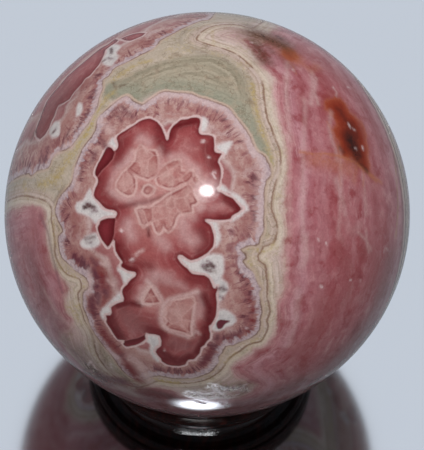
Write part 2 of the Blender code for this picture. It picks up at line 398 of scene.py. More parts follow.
# Strokes in the photograph's pixels, each as (width, strength, points)
STROKES = {
    "milk": [
        (6.0, 0.9, [(141, 139), (147, 143)]),
        (5.0, 0.9, [(132, 153), (128, 161), (120, 167)]),
        (5.0, 0.6, [(116, 170), (112, 180), (110, 188)]),
        (5.0, 0.8, [(112, 191), (120, 197), (130, 200), (138, 198)]),
        (5.0, 0.8, [(152, 168), (146, 172)]),
        (4.0, 0.8, [(159.5, 150), (161, 166)]),
        (5.0, 0.8, [(170, 157), (182, 157), (188, 164), (197, 170), (199, 178)]),
        (6.0, 0.9, [(198, 186), (201, 196), (200, 206)]),
        (9.0, 0.6, [(206, 183), (214, 184)]),
        (5.0, 0.7, [(166, 176), (171, 182)]),
        (6.0, 0.8, [(170, 204), (176, 199)]),
        (5.0, 0.7, [(186, 195), (185, 201)]),
        (6.0, 0.6, [(137, 204), (150, 203)]),
        (7.0, 0.8, [(128, 224), (131, 236)]),
        (8.0, 0.8, [(182, 224), (186, 236), (194, 241)]),
        (6.0, 0.7, [(159, 238), (166, 247)]),
        (5.0, 0.6, [(184, 216), (193, 218)]),
        (7.0, 0.8, [(150, 281), (158, 276), (168, 279)]),
        (5.0, 0.7, [(143, 289), (139, 299)]),
        (5.0, 0.6, [(176, 283), (184, 287)]),
        (6.0, 0.8, [(197, 294), (201, 303), (198, 314)]),
        (6.0, 0.5, [(177, 313), (182, 306)]),
        (4.0, 0.6, [(162, 305), (161, 321)]),
        (8.0, 0.25, [(188, 148), (184, 153)]),
        (6.0, 0.4, [(220, 205), (212, 208)]),
        (12.0, 0.35, [(128, 318), (136, 328)]),
        (8.0, 0.35, [(176, 344), (186, 346)]),
    ],
    "pale": [
        (6.0, 0.8, [(135, 360), (142, 368), (148, 379)]),
        (8.0, 0.6, [(120, 389), (128, 391), (134, 394)]),
        (4.0, 0.5, [(108, 350), (116, 356), (122, 362)]),
        (1.6, 0.9, [(136, 255), (139, 252), (143, 250)]),
        (5.0, 0.6, [(146, 101), (158, 95), (172, 96), (190, 98), (206, 103), (222, 110), (234, 121), (244, 135),
                    (252, 150), (260, 162), (262, 176)]),
        (5.0, 0.5, [(259, 184), (259, 200), (258, 216), (256, 232)]),
        (2.4, 0.8, [(101, 263), (105, 265)]),
        (2.4, 0.7, [(107, 258), (109, 264)]),
        (2.4, 0.7, [(108, 280), (113, 285)]),
        (3.0, 0.6, [(89, 270), (91, 282), (88, 294)]),
        (7.0, 0.8, [(132, 358), (140, 366), (146, 376)]),
        (4.0, 0.6, [(176, 388), (182, 396)]),
        (5.0, 0.5, [(106, 386), (118, 389), (130, 394)]),
        (2.0, 0.85, [(147, 281), (151, 284.5), (156, 289), (163, 301), (164, 305)]),
        (1.8, 0.8, [(148, 287), (144, 292), (141, 299), (143, 304.5), (150, 305)]),
        (2.2, 0.85, [(162, 314), (163, 306), (168, 300), (176, 297), (188, 294.5), (197, 292)]),
        (2.2, 0.85, [(161, 318), (163, 326), (169, 331), (178, 334), (188, 337)]),
        (2.0, 0.7, [(194.5, 306), (193.5, 320), (193, 332)]),
        (1.8, 0.8, [(193, 334), (196, 331), (199, 334)]),
        (2.0, 0.4, [(270, 28), (258, 24), (240, 21), (218, 20)]),
        (3.0, 0.5, [(287, 62), (286, 92), (288, 118), (290, 140)]),
        (3.0, 0.4, [(305, 100), (303, 150), (302, 210), (303, 260)]),
        (3.0, 0.5, [(312, 72), (313, 88), (311, 104)]),
        (2.6, 0.5, [(279, 285), (281, 291)]),
        (4.0, 0.5, [(305, 236), (306, 256), (302, 266)]),
        (3.0, 0.35, [(340, 150), (341, 190), (338, 235)]),
        (5.0, 0.2, [(345, 222), (352, 232), (360, 226)]),
        (2.4, 0.5, [(316, 78), (314, 92), (318, 104)]),
        (3.0, 0.45, [(331, 112), (329, 128), (332, 140), (336, 150), (337, 160)]),
        (1.2, 0.6, [(333, 88), (337, 92), (336, 96)]),
        (4.0, 0.4, [(336, 180), (341, 196), (345, 214)]),
        (3.0, 0.4, [(363, 176), (365, 196), (366, 214)]),
        (2.0, 0.4, [(366, 230), (367, 244), (369, 252)]),
        (5.0, 0.4, [(62, 318), (72, 328), (84, 338)]),
        (3.0, 0.4, [(44, 290), (50, 302), (56, 312)]),
        (3.4, 0.8, [(129, 360), (138, 361), (146, 368)]),
        (4.0, 0.7, [(101, 121), (106, 126), (110, 131)]),
        (4.0, 0.6, [(113, 103), (120, 100), (126, 99)]),
        (3.0, 0.6, [(118, 388), (126, 391), (133, 393)]),
        (3.0, 0.6, [(64, 146), (69, 143), (72, 147)]),
        (3.0, 0.6, [(50, 157), (55, 154), (60, 152)]),
        (3.0, 0.6, [(96, 104), (97, 98), (100, 90)]),
        (2.4, 0.6, [(86, 124), (90, 118)]),
        (3.0, 0.5, [(77, 188), (74, 180), (77, 168)]),
        (3.0, 0.5, [(138, 377), (150, 384), (168, 388)]),
        (2.4, 0.6, [(90, 361), (94, 366), (99, 370)]),
        (4.0, 0.35, [(298, 290), (296, 320), (288, 345)]),
        (2.0, 0.45, [(358, 232), (366, 240), (371, 250)]),
        (1.5, 0.5, [(384, 252), (385, 248), (388, 250)]),
    ],
    "red": [
        (5.0, 1.0, [(98, 170), (104, 160), (110, 150)]),
        (5.0, 1.0, [(105, 223), (106, 232), (107, 241)]),
        (4.0, 0.9, [(174, 127), (184, 124), (196, 121)]),
        (4.0, 0.7, [(171, 136), (174, 130)]),
        (4.0, 0.9, [(226, 199), (233, 205), (238, 209)]),
        (3.0, 0.7, [(228, 216), (219, 217)]),
        (3.5, 0.9, [(118, 246), (119, 253), (122, 259)]),
        (3.5, 0.9, [(123, 265), (129, 268), (136, 270)]),
        (5.0, 0.6, [(158, 128), (161, 134)]),
        (4.0, 0.5, [(210, 142), (210, 150), (216, 156)]),
        (7.0, 0.8, [(112, 318), (116, 328), (121, 336)]),
        (4.0, 1.0, [(127, 343), (135, 342), (143, 339)]),
        (6.0, 0.9, [(162, 352), (172, 359), (184, 360)]),
        (6.0, 0.8, [(196, 352), (202, 344), (206, 334)]),
        (4.0, 0.7, [(211, 300), (212, 312)]),
        (3.0, 0.7, [(125, 290), (128, 284)]),
        (4.0, 0.5, [(183, 262), (186, 267), (190, 272)]),
        (3.0, 0.5, [(116, 306), (124, 306)]),
        (1.8, 0.7, [(150, 201), (158, 198), (164, 196), (171, 192.5), (179, 190.5)]),
        (3.0, 0.6, [(144, 188), (150, 187), (153, 191)]),
        (2.0, 0.8, [(148, 228), (149, 236)]),
        (3.0, 0.6, [(189, 205), (190, 210)]),
        (5.0, 0.6, [(158, 136), (162, 146), (165, 152)]),
        (8.0, 0.5, [(122, 142), (120, 150), (116, 160)]),
        (8.0, 0.4, [(100, 180), (102, 194), (112, 204)]),
        (6.0, 0.6, [(206, 146), (208, 156), (214, 166)]),
        (6.0, 0.6, [(203, 232), (208, 244), (200, 253)]),
        (6.0, 0.5, [(121, 246), (130, 262), (150, 266)]),
        (6.0, 0.6, [(130, 282), (127, 294), (122, 304)]),
        (7.0, 0.5, [(190, 279), (206, 282), (212, 296)]),
        (8.0, 0.8, [(150, 329), (162, 333)]),
        (3.0, 0.6, [(100, 205), (118, 207.5), (135, 204), (150, 201)]),
        (2.0, 0.5, [(141, 147), (143, 154)]),
        (2.0, 0.6, [(151, 153), (155, 153), (156, 158)]),
        (1.4, 0.7, [(166, 166), (174, 162), (179, 162), (179.5, 170)]),
        (16.0, 0.5, [(126, 314), (136, 322), (150, 328)]),
        (5.0, 1.0, [(108, 317), (112, 327), (118, 336)]),
        (4.0, 0.9, [(118, 306), (130, 303), (140, 305)]),
        (6.0, 0.9, [(204, 296), (210, 308), (209, 322)]),
        (6.0, 0.8, [(112, 320), (117, 332)]),
        (6.0, 0.9, [(165, 359), (178, 362), (190, 356)]),
        (6.0, 0.9, [(206, 328), (204, 342), (197, 352)]),
        (10.0, 0.5, [(172, 345), (190, 345)]),
        (14.0, 0.35, [(124, 316), (142, 328)]),
        (16.0, 0.30, [(160, 292), (186, 304)]),
        (12.0, 0.40, [(174, 338), (198, 334)]),
        (9.0, 0.35, [(184, 296), (204, 300)]),
    ],
    "rose": [
        (14.0, 0.6, [(298, 48), (330, 70), (360, 100), (382, 140)]),
        (5.0, 1.0, [(122, 363), (129, 369), (136, 376)]),
        (13.0, 0.9, [(98, 268), (104, 284), (104, 302)]),
        (7.0, 0.8, [(76, 258), (84, 262), (94, 261)]),
        (6.0, 0.7, [(73, 218), (76, 228), (74, 236)]),
        (8.0, 0.7, [(247, 292), (252, 308), (250, 326)]),
        (7.0, 0.6, [(254, 172), (256, 196), (254, 220)]),
        (18.0, 0.6, [(384, 236), (388, 262), (380, 292)]),
        (16.0, 0.8, [(366, 250), (378, 262), (372, 284)]),
        (5.0, 0.9, [(116, 379), (124, 383)]),
        (3.0, 0.6, [(102, 382), (109, 386)]),
        (7.0, 0.8, [(137, 392), (150, 394), (170, 398)]),
        (4.0, 0.8, [(118, 349), (124, 355), (131, 358)]),
        (4.0, 0.8, [(199, 365), (206, 361), (209, 352)]),
        (7.0, 0.6, [(66, 212), (64, 228), (68, 245), (78, 258)]),
        (11.0, 0.75, [(84, 262), (96, 268), (108, 280), (104, 292)]),
        (6.0, 0.7, [(92, 300), (98, 318), (108, 338), (120, 352)]),
        (6.0, 0.7, [(132, 354), (146, 364), (165, 371), (190, 371)]),
        (6.0, 0.7, [(208, 356), (216, 344), (230, 337), (246, 330)]),
        (7.0, 0.35, [(238, 262), (246, 280), (250, 300), (248, 318)]),
        (10.0, 0.4, [(66, 120), (58, 135), (46, 150)]),
        (9.0, 0.5, [(82, 84), (74, 98), (66, 110)]),
        (12.0, 0.6, [(340, 250), (352, 272), (344, 300)]),
        (12.0, 0.6, [(372, 250), (372, 275), (366, 292)]),
        (7.0, 0.5, [(318, 66), (322, 84), (332, 92)]),
        (8.0, 0.4, [(372, 190), (376, 215), (372, 238)]),
        (9.0, 0.5, [(322, 300), (312, 335), (300, 368)]),
        (6.0, 0.4, [(300, 82), (302, 106)]),
        (12.0, 0.7, [(34, 222), (38, 242), (46, 262)]),
        (5.0, 0.5, [(256, 356), (262, 352)]),
        (16.0, 0.6, [(330, 300), (318, 330), (300, 352)]),
    ],
    "plum": [
        (1.8, 1.0, [(84, 207), (90, 206), (95, 208)]),
        (1.5, 0.9, [(86, 203), (90, 204)]),
        (1.5, 0.8, [(92, 211), (97, 211)]),
        (2.0, 1.0, [(203, 266), (209, 265), (214, 267)]),
        (1.6, 0.9, [(206, 270), (211, 271)]),
        (1.4, 0.8, [(207, 261), (211, 263)]),
        (1.6, 0.8, [(219, 289), (223, 287), (226, 290)]),
        (1.4, 0.7, [(220, 296), (223, 299)]),
        (1.6, 0.6, [(85, 239), (90, 238), (95, 237)]),
        (1.3, 0.6, [(86, 243), (92, 242)]),
        (1.5, 0.9, [(111, 48), (112, 50), (111, 53)]),
        (1.7, 0.9, [(103.5, 61), (105, 60)]),
        (1.3, 0.8, [(108, 58), (112, 59)]),
        (1.8, 1.0, [(53.5, 132), (55, 130)]),
        (1.8, 0.6, [(112, 112), (117, 108), (121, 106), (126, 110), (128, 116)]),
        (1.6, 0.6, [(109, 119), (114, 115), (119, 117), (122, 122)]),
        (1.6, 0.5, [(117, 112), (121, 112), (124, 116)]),
        (1.4, 0.6, [(130, 112), (132, 118)]),
        (1.6, 0.8, [(89, 98), (92, 94), (96, 91)]),
        (1.4, 0.8, [(94, 99), (97, 95)]),
        (1.6, 0.7, [(86, 118), (88, 112)]),
        (1.6, 0.7, [(79, 126), (81, 122)]),
        (1.6, 0.7, [(74, 132), (77, 129)]),
        (1.8, 0.8, [(66, 137), (69, 131)]),
        (1.6, 0.8, [(61, 149), (63, 143)]),
        (2.2, 0.8, [(44, 164), (46, 157)]),
        (2.0, 0.8, [(38, 169), (40, 163)]),
        (2.2, 0.7, [(26, 173), (30, 164)]),
        (3.0, 0.9, [(94, 271), (97, 277)]),
        (3.0, 0.9, [(94, 287), (97, 285)]),
        (3.0, 0.8, [(74, 257), (79, 261)]),
        (3.0, 0.7, [(83, 259), (86, 266)]),
        (3.0, 0.7, [(92, 259), (95, 264)]),
        (4.0, 0.7, [(92, 298), (92, 310)]),
        (3.0, 0.7, [(99, 296), (98, 303)]),
        (3.0, 0.6, [(105, 291), (106, 296)]),
        (5.0, 0.8, [(100, 376), (112, 379), (124, 381)]),
        (3.0, 0.6, [(102, 141), (106, 147)]),
        (3.0, 0.6, [(92, 162), (95, 153)]),
        (2.6, 0.5, [(80, 176), (82, 166)]),
        (4.0, 0.5, [(203, 363), (212, 355), (216, 345)]),
        (4.0, 0.6, [(108, 378), (118, 382), (126, 383)]),
        (3.0, 0.5, [(226, 336), (240, 333)]),
        (2.0, 0.5, [(40, 215), (48, 232), (54, 262), (62, 292)]),
    ],
    "maroon": [
        (9.0, 0.3, [(230, 28), (242, 31), (254, 33)]),
        (8.0, 1.0, [(126, 364), (134, 372), (140, 380)]),
        (11.0, 0.9, [(104, 379), (114, 381), (126, 383)]),
        (7.0, 0.7, [(102, 332), (109, 343), (117, 351)]),
        (12.0, 0.8, [(142, 391), (154, 395), (168, 399)]),
        (4.5, 1.0, [(124, 361), (131, 368), (138, 378), (142, 381)]),
        (8.0, 0.5, [(94, 376), (108, 384), (126, 390)]),
        (4.0, 0.8, [(104, 378), (114, 380), (124, 382)]),
        (5.0, 0.6, [(140, 388), (154, 391), (168, 395)]),
        (3.0, 0.7, [(170, 398), (176, 404)]),
        (2.6, 0.9, [(94, 271), (97, 277)]),
        (2.4, 0.9, [(94, 287), (97, 285)]),
        (2.4, 0.8, [(75, 257), (78, 260)]),
        (6.0, 0.6, [(100, 272), (104, 284)]),
        (4.0, 0.7, [(92, 298), (92, 312)]),
        (3.0, 0.6, [(118, 349), (124, 355), (131, 358)]),
        (3.5, 0.7, [(203, 364), (208, 358), (211, 350)]),
        (2.0, 0.8, [(251, 300), (254, 298)]),
        (2.0, 0.8, [(253, 310), (257, 309)]),
        (2.0, 0.8, [(251, 320), (255, 321)]),
        (2.2, 0.8, [(246, 329), (249, 332)]),
        (2.0, 0.7, [(238, 334), (241, 338)]),
        (2.0, 0.7, [(228, 338), (230, 342)]),
        (5.0, 0.5, [(44, 128), (58, 104), (76, 88), (98, 62)]),
    ],
    # Painted shade that darkens the stone towards its lower and left limbs, with dark patches and bands of the stone's
    # own colour.
    "dark_tone_and_painted_shade": [
        (14.0, 0.4, [(92, 342), (101, 356), (108, 368)]),
        (14.0, 0.45, [(84, 352), (96, 366), (110, 386), (128, 392)]),
        (12.0, 0.62, [(90, 366), (104, 378), (122, 386), (138, 394)]),
        (24.0, 0.5, [(42, 126), (52, 110), (62, 98)]),
        (12.0, 0.6, [(96, 376), (108, 382), (124, 386)]),
        (7.0, 0.8, [(138, 388), (152, 392), (168, 396), (176, 402)]),
        (16.0, 0.4, [(30, 258), (42, 292), (58, 322)]),
        (20.0, 0.3, [(390, 262), (378, 306), (352, 344), (320, 376)]),
        (14.0, 0.4, [(52, 318), (70, 348), (92, 370), (120, 388), (160, 402), (210, 408), (260, 400), (300, 382)]),
        (10.0, 0.42, [(196, 392), (226, 390), (250, 384)]),
        (12.0, 0.4, [(256, 30), (270, 36), (284, 42)]),
        (8.0, 0.3, [(80, 362), (96, 372), (108, 372)]),
    ],
    "brown": [
        (15.0, 0.95, [(257, 35), (268, 39), (280, 44)]),
        (11.0, 0.8, [(255, 41), (260, 51), (265, 60)]),
        (8.0, 0.35, [(268, 44), (280, 58), (290, 66)]),
        (4.0, 0.5, [(262, 38), (266, 34)]),
        (3.0, 0.6, [(276, 36), (281, 38)]),
        (4.0, 0.4, [(258, 43), (256, 50)]),
        (8.0, 0.5, [(254, 32), (268, 38), (282, 38)]),
        (7.0, 0.6, [(258, 38), (266, 44), (272, 52)]),
        (2.4, 0.5, [(160, 19), (180, 18), (204, 16.5)]),
        (3.0, 0.35, [(244, 25), (262, 27), (290, 33)]),
        (1.6, 0.7, [(120, 86), (125, 85)]),
        (1.8, 0.5, [(116, 89), (113, 82)]),
        (1.5, 0.5, [(54, 201.5), (58, 196), (64, 187)]),
        (1.8, 0.6, [(52, 133), (54, 131)]),
        (1.4, 0.5, [(84, 207), (89, 207), (94, 206)]),
        (1.5, 0.6, [(84, 208), (88, 205)]),
        (1.4, 0.5, [(205, 269), (209, 266), (213, 265)]),
        (1.4, 0.5, [(207, 266), (210, 270), (216, 272)]),
        (1.6, 0.4, [(220, 292), (224, 290)]),
        (2.4, 0.35, [(86, 238), (94, 237)]),
        (2.2, 0.6, [(31, 141), (33, 136), (35, 131)]),
        (2.0, 0.35, [(24, 172), (22, 150), (32, 128), (44, 108)]),
        (1.6, 0.6, [(103, 61), (105, 59)]),
        (1.5, 0.6, [(110, 49), (112, 54)]),
        (1.3, 0.4, [(208, 79), (207, 77)]),
        (1.6, 0.45, [(156, 69), (158, 71)]),
        (1.4, 0.35, [(185, 65), (187, 64)]),
        (1.5, 0.4, [(195, 67), (197, 69)]),
        (1.3, 0.35, [(202, 52), (206, 52)]),
        (1.3, 0.35, [(215, 77), (219, 78)]),
        (1.3, 0.35, [(246, 77), (249, 77)]),
        (1.3, 0.35, [(229, 85), (231, 85)]),
        (1.3, 0.35, [(179, 75), (184, 77)]),
        (1.4, 0.35, [(173, 54), (180, 56)]),
        (2.0, 0.5, [(250, 100), (253, 104)]),
        (2.0, 0.4, [(245, 258), (246, 253)]),
        (5.0, 0.35, [(75, 352), (88, 362), (100, 370)]),
        (3.0, 0.5, [(84, 372), (92, 374), (104, 380)]),
        (3.0, 0.4, [(121, 372), (128, 380)]),
        (3.0, 0.8, [(221, 388), (227, 387), (231, 389)]),
        (2.0, 0.6, [(240, 384), (246, 387), (246, 392), (239, 395)]),
        (2.4, 0.5, [(84, 370), (90, 368), (98, 371)]),
    ],
    "ochre": [
        (5.0, 0.8, [(40, 184), (50, 182), (58, 176)]),
        (5.0, 0.7, [(58, 176), (64, 166), (70, 156)]),
        (4.0, 0.8, [(70, 158), (78, 146), (86, 134)]),
        (3.6, 0.9, [(86, 134), (91, 126), (93, 119)]),
        (3.0, 0.7, [(94, 117), (100, 106), (107, 97), (114, 92)]),
        (3.0, 0.4, [(24, 184), (27, 192)]),
        (3.4, 0.7, [(113, 80), (122, 74), (132, 67)]),
        (2.6, 0.75, [(131, 67), (140, 63), (150, 61)]),
        (3.0, 0.7, [(252, 84), (254, 96), (255, 108)]),
        (3.0, 0.75, [(256, 108), (260, 124), (264, 136)]),
        (3.0, 0.6, [(265, 136), (269, 150), (272, 165)]),
        (2.2, 0.8, [(244, 249), (251, 248), (257, 249)]),
        (2.2, 0.5, [(248, 262), (256, 275), (260, 285)]),
        (2.4, 0.5, [(264, 228), (266, 236)]),
        (2.2, 0.6, [(262, 252), (270, 250), (275, 243)]),
        (2.4, 0.5, [(58, 262), (66, 271), (76, 277)]),
        (2.0, 0.5, [(53, 215), (54, 230), (56, 245)]),
        (4.0, 0.5, [(68, 308), (74, 312), (80, 322)]),
        (2.0, 0.5, [(84, 282), (84, 291)]),
        (2.6, 0.9, [(150, 376), (158, 380), (168, 382), (178, 383)]),
        (2.4, 0.4, [(236, 344), (248, 342), (262, 338)]),
        (3.0, 0.4, [(225, 362), (234, 352)]),
        (1.4, 0.5, [(214, 46), (212, 30)]),
        (3.0, 0.6, [(70, 303), (76, 307), (82, 306)]),
        (2.6, 0.4, [(388, 128), (394, 150), (396, 175), (398, 205), (396, 235)]),
    ],
    "amber": [
        (9.0, 0.55, [(262, 36), (280, 44), (297, 58)]),
        (1.6, 0.9, [(300, 152), (308, 153), (316, 155), (324, 154), (334, 155), (344, 158), (354, 162), (362, 168),
                    (372, 176), (382, 183)]),
        (4.0, 0.6, [(316, 158), (324, 161), (330, 160)]),
        (4.0, 0.5, [(346, 162), (356, 168), (354, 180)]),
        (1.0, 0.6, [(362, 168), (364, 176), (363, 186)]),
        (1.0, 0.6, [(327, 122), (331, 128), (334, 138), (338, 148)]),
        (5.0, 0.4, [(300, 62), (310, 70), (318, 66)]),
        (7.0, 0.4, [(258, 38), (272, 44), (284, 54), (298, 62)]),
        (1.6, 0.7, [(322, 153), (334, 155), (344, 158), (356, 163), (366, 171), (376, 181)]),
        (8.0, 0.5, [(312, 160), (330, 163), (350, 170)]),
        (1.0, 0.5, [(344, 160), (338, 172), (341, 186)]),
        (1.0, 0.5, [(288, 62), (293, 66), (296, 74)]),
    ],
    "core": [
        (3.0, 0.3, [(350, 124), (352, 134)]),
        (8.5, 1.0, [(350, 139), (353, 147), (357, 155)]),
        (3.0, 0.8, [(355, 158), (362, 165), (367, 171)]),
        (3.0, 0.6, [(340, 148), (344, 152)]),
        (2.4, 0.6, [(262, 35), (266, 39)]),
        (2.0, 0.6, [(277, 36), (281, 39)]),
        (1.7, 0.9, [(84.5, 207.5), (86.5, 207)]),
        (1.3, 0.5, [(89, 205), (94, 207)]),
        (1.5, 0.7, [(205, 268), (208, 266)]),
        (1.5, 0.7, [(211, 265), (213, 267)]),
        (1.4, 0.6, [(220, 288), (223, 290)]),
        (1.2, 0.5, [(111, 49), (112, 52)]),
    ],
    # Painted highlights: tiny white specks where single crystals and pits catch the light.
    "painted_sparkle": [
        (1.3, 0.9, [(202.5, 141.5), (204, 141)]),
        (1.0, 0.6, [(208, 157), (209.5, 157)]),
        (1.2, 0.9, [(121, 230.5), (122, 231)]),
        (1.3, 0.7, [(131, 260.5), (133, 259)]),
        (1.0, 0.7, [(318, 239.5), (319, 240)]),
        (1.0, 0.7, [(326, 243), (326.5, 244)]),
        (1.2, 0.8, [(320.5, 286), (322, 287)]),
        (1.2, 0.7, [(246, 328), (247, 328.5)]),
        (1.0, 0.5, [(350, 280), (351, 280)]),
        (1.0, 0.4, [(360, 280.5), (361, 281)]),
        (1.0, 0.6, [(333.5, 87), (334, 88)]),
        (1.0, 0.4, [(347, 87), (350, 88)]),
        (1.2, 0.8, [(348.5, 124), (350, 127)]),
        (1.3, 0.8, [(362.5, 147), (363, 149)]),
        (1.0, 0.5, [(353, 129), (355, 130)]),
        (1.0, 0.5, [(355, 148), (356.5, 149)]),
        (0.9, 0.6, [(251, 42), (252, 43)]),
        (0.9, 0.6, [(293, 69), (293.5, 71)]),
        (0.9, 0.5, [(164.5, 350), (165, 351)]),
        (1.1, 0.7, [(212, 174), (215, 172)]),
        (1.0, 0.7, [(214, 176), (215, 178)]),
        (1.1, 0.9, [(213, 384), (216, 386)]),
        (1.2, 0.9, [(219, 392), (225, 396)]),
        (1.0, 0.9, [(199, 395), (205, 398)]),
        (1.0, 0.8, [(191, 393), (197, 392)]),
        (1.0, 0.7, [(244, 385), (247, 384)]),
        (1.0, 0.7, [(236, 395), (239, 394)]),
        (1.1, 0.7, [(88, 365), (91, 361)]),
        (1.1, 0.7, [(93, 364), (96, 369)]),
        (1.0, 0.6, [(86, 372), (90, 375)]),
        (1.0, 0.5, [(110, 363), (112, 368)]),
    ],
    "vug": [
        (5.0, 1.0, [(86, 366), (92, 368), (97, 373)]),
        (5.0, 0.9, [(190, 394), (206, 396), (218, 395), (230, 397)]),
        (5.0, 0.9, [(212, 386), (224, 390), (240, 388), (246, 390)]),
        (3.0, 0.5, [(196, 401), (204, 403)]),
        (3.0, 0.6, [(222, 402), (228, 406)]),
    ],
}

# Rosettes of the sides that the photograph doesn't show, as (bearing, degrees from the axis, radius, lobes, seed)
HIDDEN_ROSETTES = [
    (134, 104, 60, 9, 3),
    (112, 120, 34, 6, 8),
    (6, 109, 60, 9, 5),
    (24, 128, 40, 7, 11),
    (-18, 124, 36, 6, 14),
    (78, 158, 58, 8, 7),
    (221, 132, 34, 7, 9),
    (-62, 104, 34, 6, 17),
]
# Closed lines around the hidden rosettes that no seen one shares, as (bearing, degrees from the axis)
RIGHT_FORMATION = [(-42, 96), (-26, 81), (-10, 75.5), (8, 73.5), (24, 74.5), (38, 79), (50, 90), (54, 108),
                   (47, 126), (30, 141), (6, 147), (-18, 142), (-34, 130), (-43, 113)]
BACK_FORMATION = [(56, 146), (88, 139), (120, 149), (150, 163), (-150, 169), (-60, 172), (10, 163), (34, 152)]
LOW_FORMATION = [(211, 122), (220, 118), (231, 121), (236, 131), (231, 142), (219, 147), (209, 141), (206, 131)]
FRONT_LOW_FORMATION = [(-76, 97), (-62, 91), (-48, 96), (-43, 105), (-50, 115), (-64, 118), (-76, 112)]


def photo_outline(pixels, hidden=None):
    """A smooth closed chart outline through pixels, and then through hidden places given by bearing."""
    outline = chart_of_photo(pixels)
    if hidden:
        outline = np.vstack([outline, chart_of_bearings(hidden)])
    return rounded(outline)


def direction_of_bearing(bearing, away):
    """The unit vector, in the camera's axes, of a place given by bearing and degrees from the axis."""
    turn = math.radians(bearing)
    tilt = math.radians(away)
    return (math.sin(tilt) * math.cos(turn), math.sin(tilt) * math.sin(turn), math.cos(tilt))


def lay_limb_band(pattern):
    """The brown and cream layers that show edge-on along the right limb."""
    for inset, name, width, strength in ((-1.0, "dark_tone_and_painted_shade", 3.0, 0.7), (-12.0, "dark_tone_and_painted_shade", 2.4, 0.5), (-6.0, "pale", 2.4, 0.6)):
        places = [(bearing, away + inset * 0.28) for bearing, away in RIGHT_FORMATION[1:6]]
        curve = rounded(chart_of_bearings(places), closed=False, pieces=6)
        pattern.paint(name, curve, width, strength)


def rosette_edge(radius, lobes, chance):
    """A closed rosette outline: uneven round petals that meet in sharp notches, with small teeth."""
    widths = chance.uniform(0.6, 1.4, lobes)
    turns = np.concatenate([[0.0], np.cumsum(widths / widths.sum())]) * math.tau
    points = []
    for start, end in zip(turns[:-1], turns[1:]):
        height = radius * chance.uniform(0.78, 1.08)
        notch = radius * chance.uniform(0.62, 0.74)
        steps = 9
        for step in range(steps):
            share = step / steps
            bulge = math.sin(math.pi * share) ** 0.55
            tooth = chance.uniform(-0.018, 0.018) * radius
            reach = notch + (height - notch) * bulge + tooth
            turn = start + (end - start) * share
            points.append((reach * math.cos(turn), reach * math.sin(turn)))
    return np.array(points)


def lay_seen_pattern(pattern):
    """Everything that the photograph shows, on the chart about the camera's axis."""
    pattern.lay("petal", chart_of_photo(ROSETTE))
    for petal in LIMB_PETALS:
        pattern.lay("petal", chart_of_photo(petal))
    pattern.lay("halo", photo_outline(HALO))
    pattern.lay("halo", photo_outline(LIMB_HALO_SEEN, LIMB_HALO_HIDDEN))
    pattern.lay("outer", photo_outline(OUTER_LINE, OUTER_LINE_HIDDEN))
    pattern.lay("cream", photo_outline(CREAM_EDGE, CREAM_EDGE_HIDDEN))
    for name, outlines in (("olive", OLIVE_ZONES), ("snow", SNOW_PATCHES), ("spot", DARK_SPOTS)):
        for outline in outlines:
            pattern.lay(name, photo_outline(outline))
    for name, outlines in (("under", UNDER_PETALS), ("heart", HEARTS), ("rust", RUSTY_PATCHES)):
        for outline in outlines:
            pattern.lay(name, chart_of_photo(outline))
    for name, strokes in STROKES.items():
        for width, strength, points in strokes:
            pattern.paint(name, chart_of_photo(points), width, strength)
    lay_limb_band(pattern)


def lay_hidden_formations(pattern):
    """The closed lines, halos and cream bands of the formations that the photograph doesn't show."""
    for line, bias, halo_inset in ((RIGHT_FORMATION, 5.0, 15.0), (BACK_FORMATION, 9.0, 15.0),
                                   (LOW_FORMATION, 3.0, 7.0), (FRONT_LOW_FORMATION, 4.0, 9.0)):
        middle = np.mean([direction_of_bearing(*place) for place in line], axis=0)
        pattern.turn_to(middle)
        outline = pattern.chart_in_turn([direction_of_bearing(*place) for place in line])
        distance, along = outline_field(pattern.chart, rounded(outline))
        distance *= pattern.scale
        pattern.keep_least("outer", distance)
        pattern.keep_least("cream", distance - bias)
        nearer = distance + halo_inset < pattern.fields["halo"]
        pattern.along[nearer] = along[nearer]
        pattern.keep_least("halo", distance + halo_inset)


def lay_hidden_rosettes(pattern):
    """Petals, snow, veins and dark hearts of the rosettes that the photograph doesn't show."""
    for bearing, away, radius, lobes, seed in HIDDEN_ROSETTES:
        chance = np.random.default_rng(seed)
        pattern.turn_to(direction_of_bearing(bearing, away))
        edge = rosette_edge(radius, lobes, chance)
        pattern.lay("petal", edge)
        notches = edge[::9]
        for notch in notches:
            if chance.uniform() < 0.75:
                outward = notch / np.hypot(*notch)
                size = chance.uniform(5.0, 12.0)
                pattern.lay("snow", patch_about(notch + outward * 0.8 * size, size, chance))
                pattern.paint("plum", [notch + outward * 0.8 * size, notch + outward * 1.1 * size], 1.8, 0.9)
        pattern.lay("heart", crystal_crown(radius * 0.34, 7, (0.0, 0.0), chance))
        for turn in chance.uniform(0.0, 1.0, 3) + np.array([0.0, 2.1, 4.2]):
            middle = 0.56 * radius * np.array([math.cos(turn), math.sin(turn)])
            pattern.lay("heart", crystal_crown(radius * 0.15, 4, middle, chance))
            pattern.paint("milk", [middle * 0.8, middle * 1.25], 0.14 * radius, 0.8)
        for lobe in range(lobes):
            turn = math.tau * (lobe + chance.uniform(0.2, 0.8)) / lobes
            tip = radius * chance.uniform(0.72, 0.86) * np.array([math.cos(turn), math.sin(turn)])
            pattern.paint("red", [tip * 0.86, tip], chance.uniform(4.0, 7.0), chance.uniform(0.4, 1.0))


def patch_about(centre, size, chance):
    """A small ragged closed patch."""
    turns = np.arange(9) / 9 * math.tau
    reach = size * chance.uniform(0.65, 1.25, 9)
    return rounded(centre + np.stack([reach * np.cos(turns), reach * np.sin(turns)], axis=1))


def crystal_crown(radius, corners, middle, chance):
    """A closed zigzag outline, as crystals' ends leave in a rosette that is cut across."""
    points = []
    for corner in range(2 * corners):
        turn = math.tau * (corner + chance.uniform(-0.3, 0.3)) / (2 * corners)
        reach = radius * (1.2 if corner % 2 else 0.8) * chance.uniform(0.85, 1.15)
        points.append((reach * math.cos(turn), reach * math.sin(turn)))
    return np.array(points) + middle


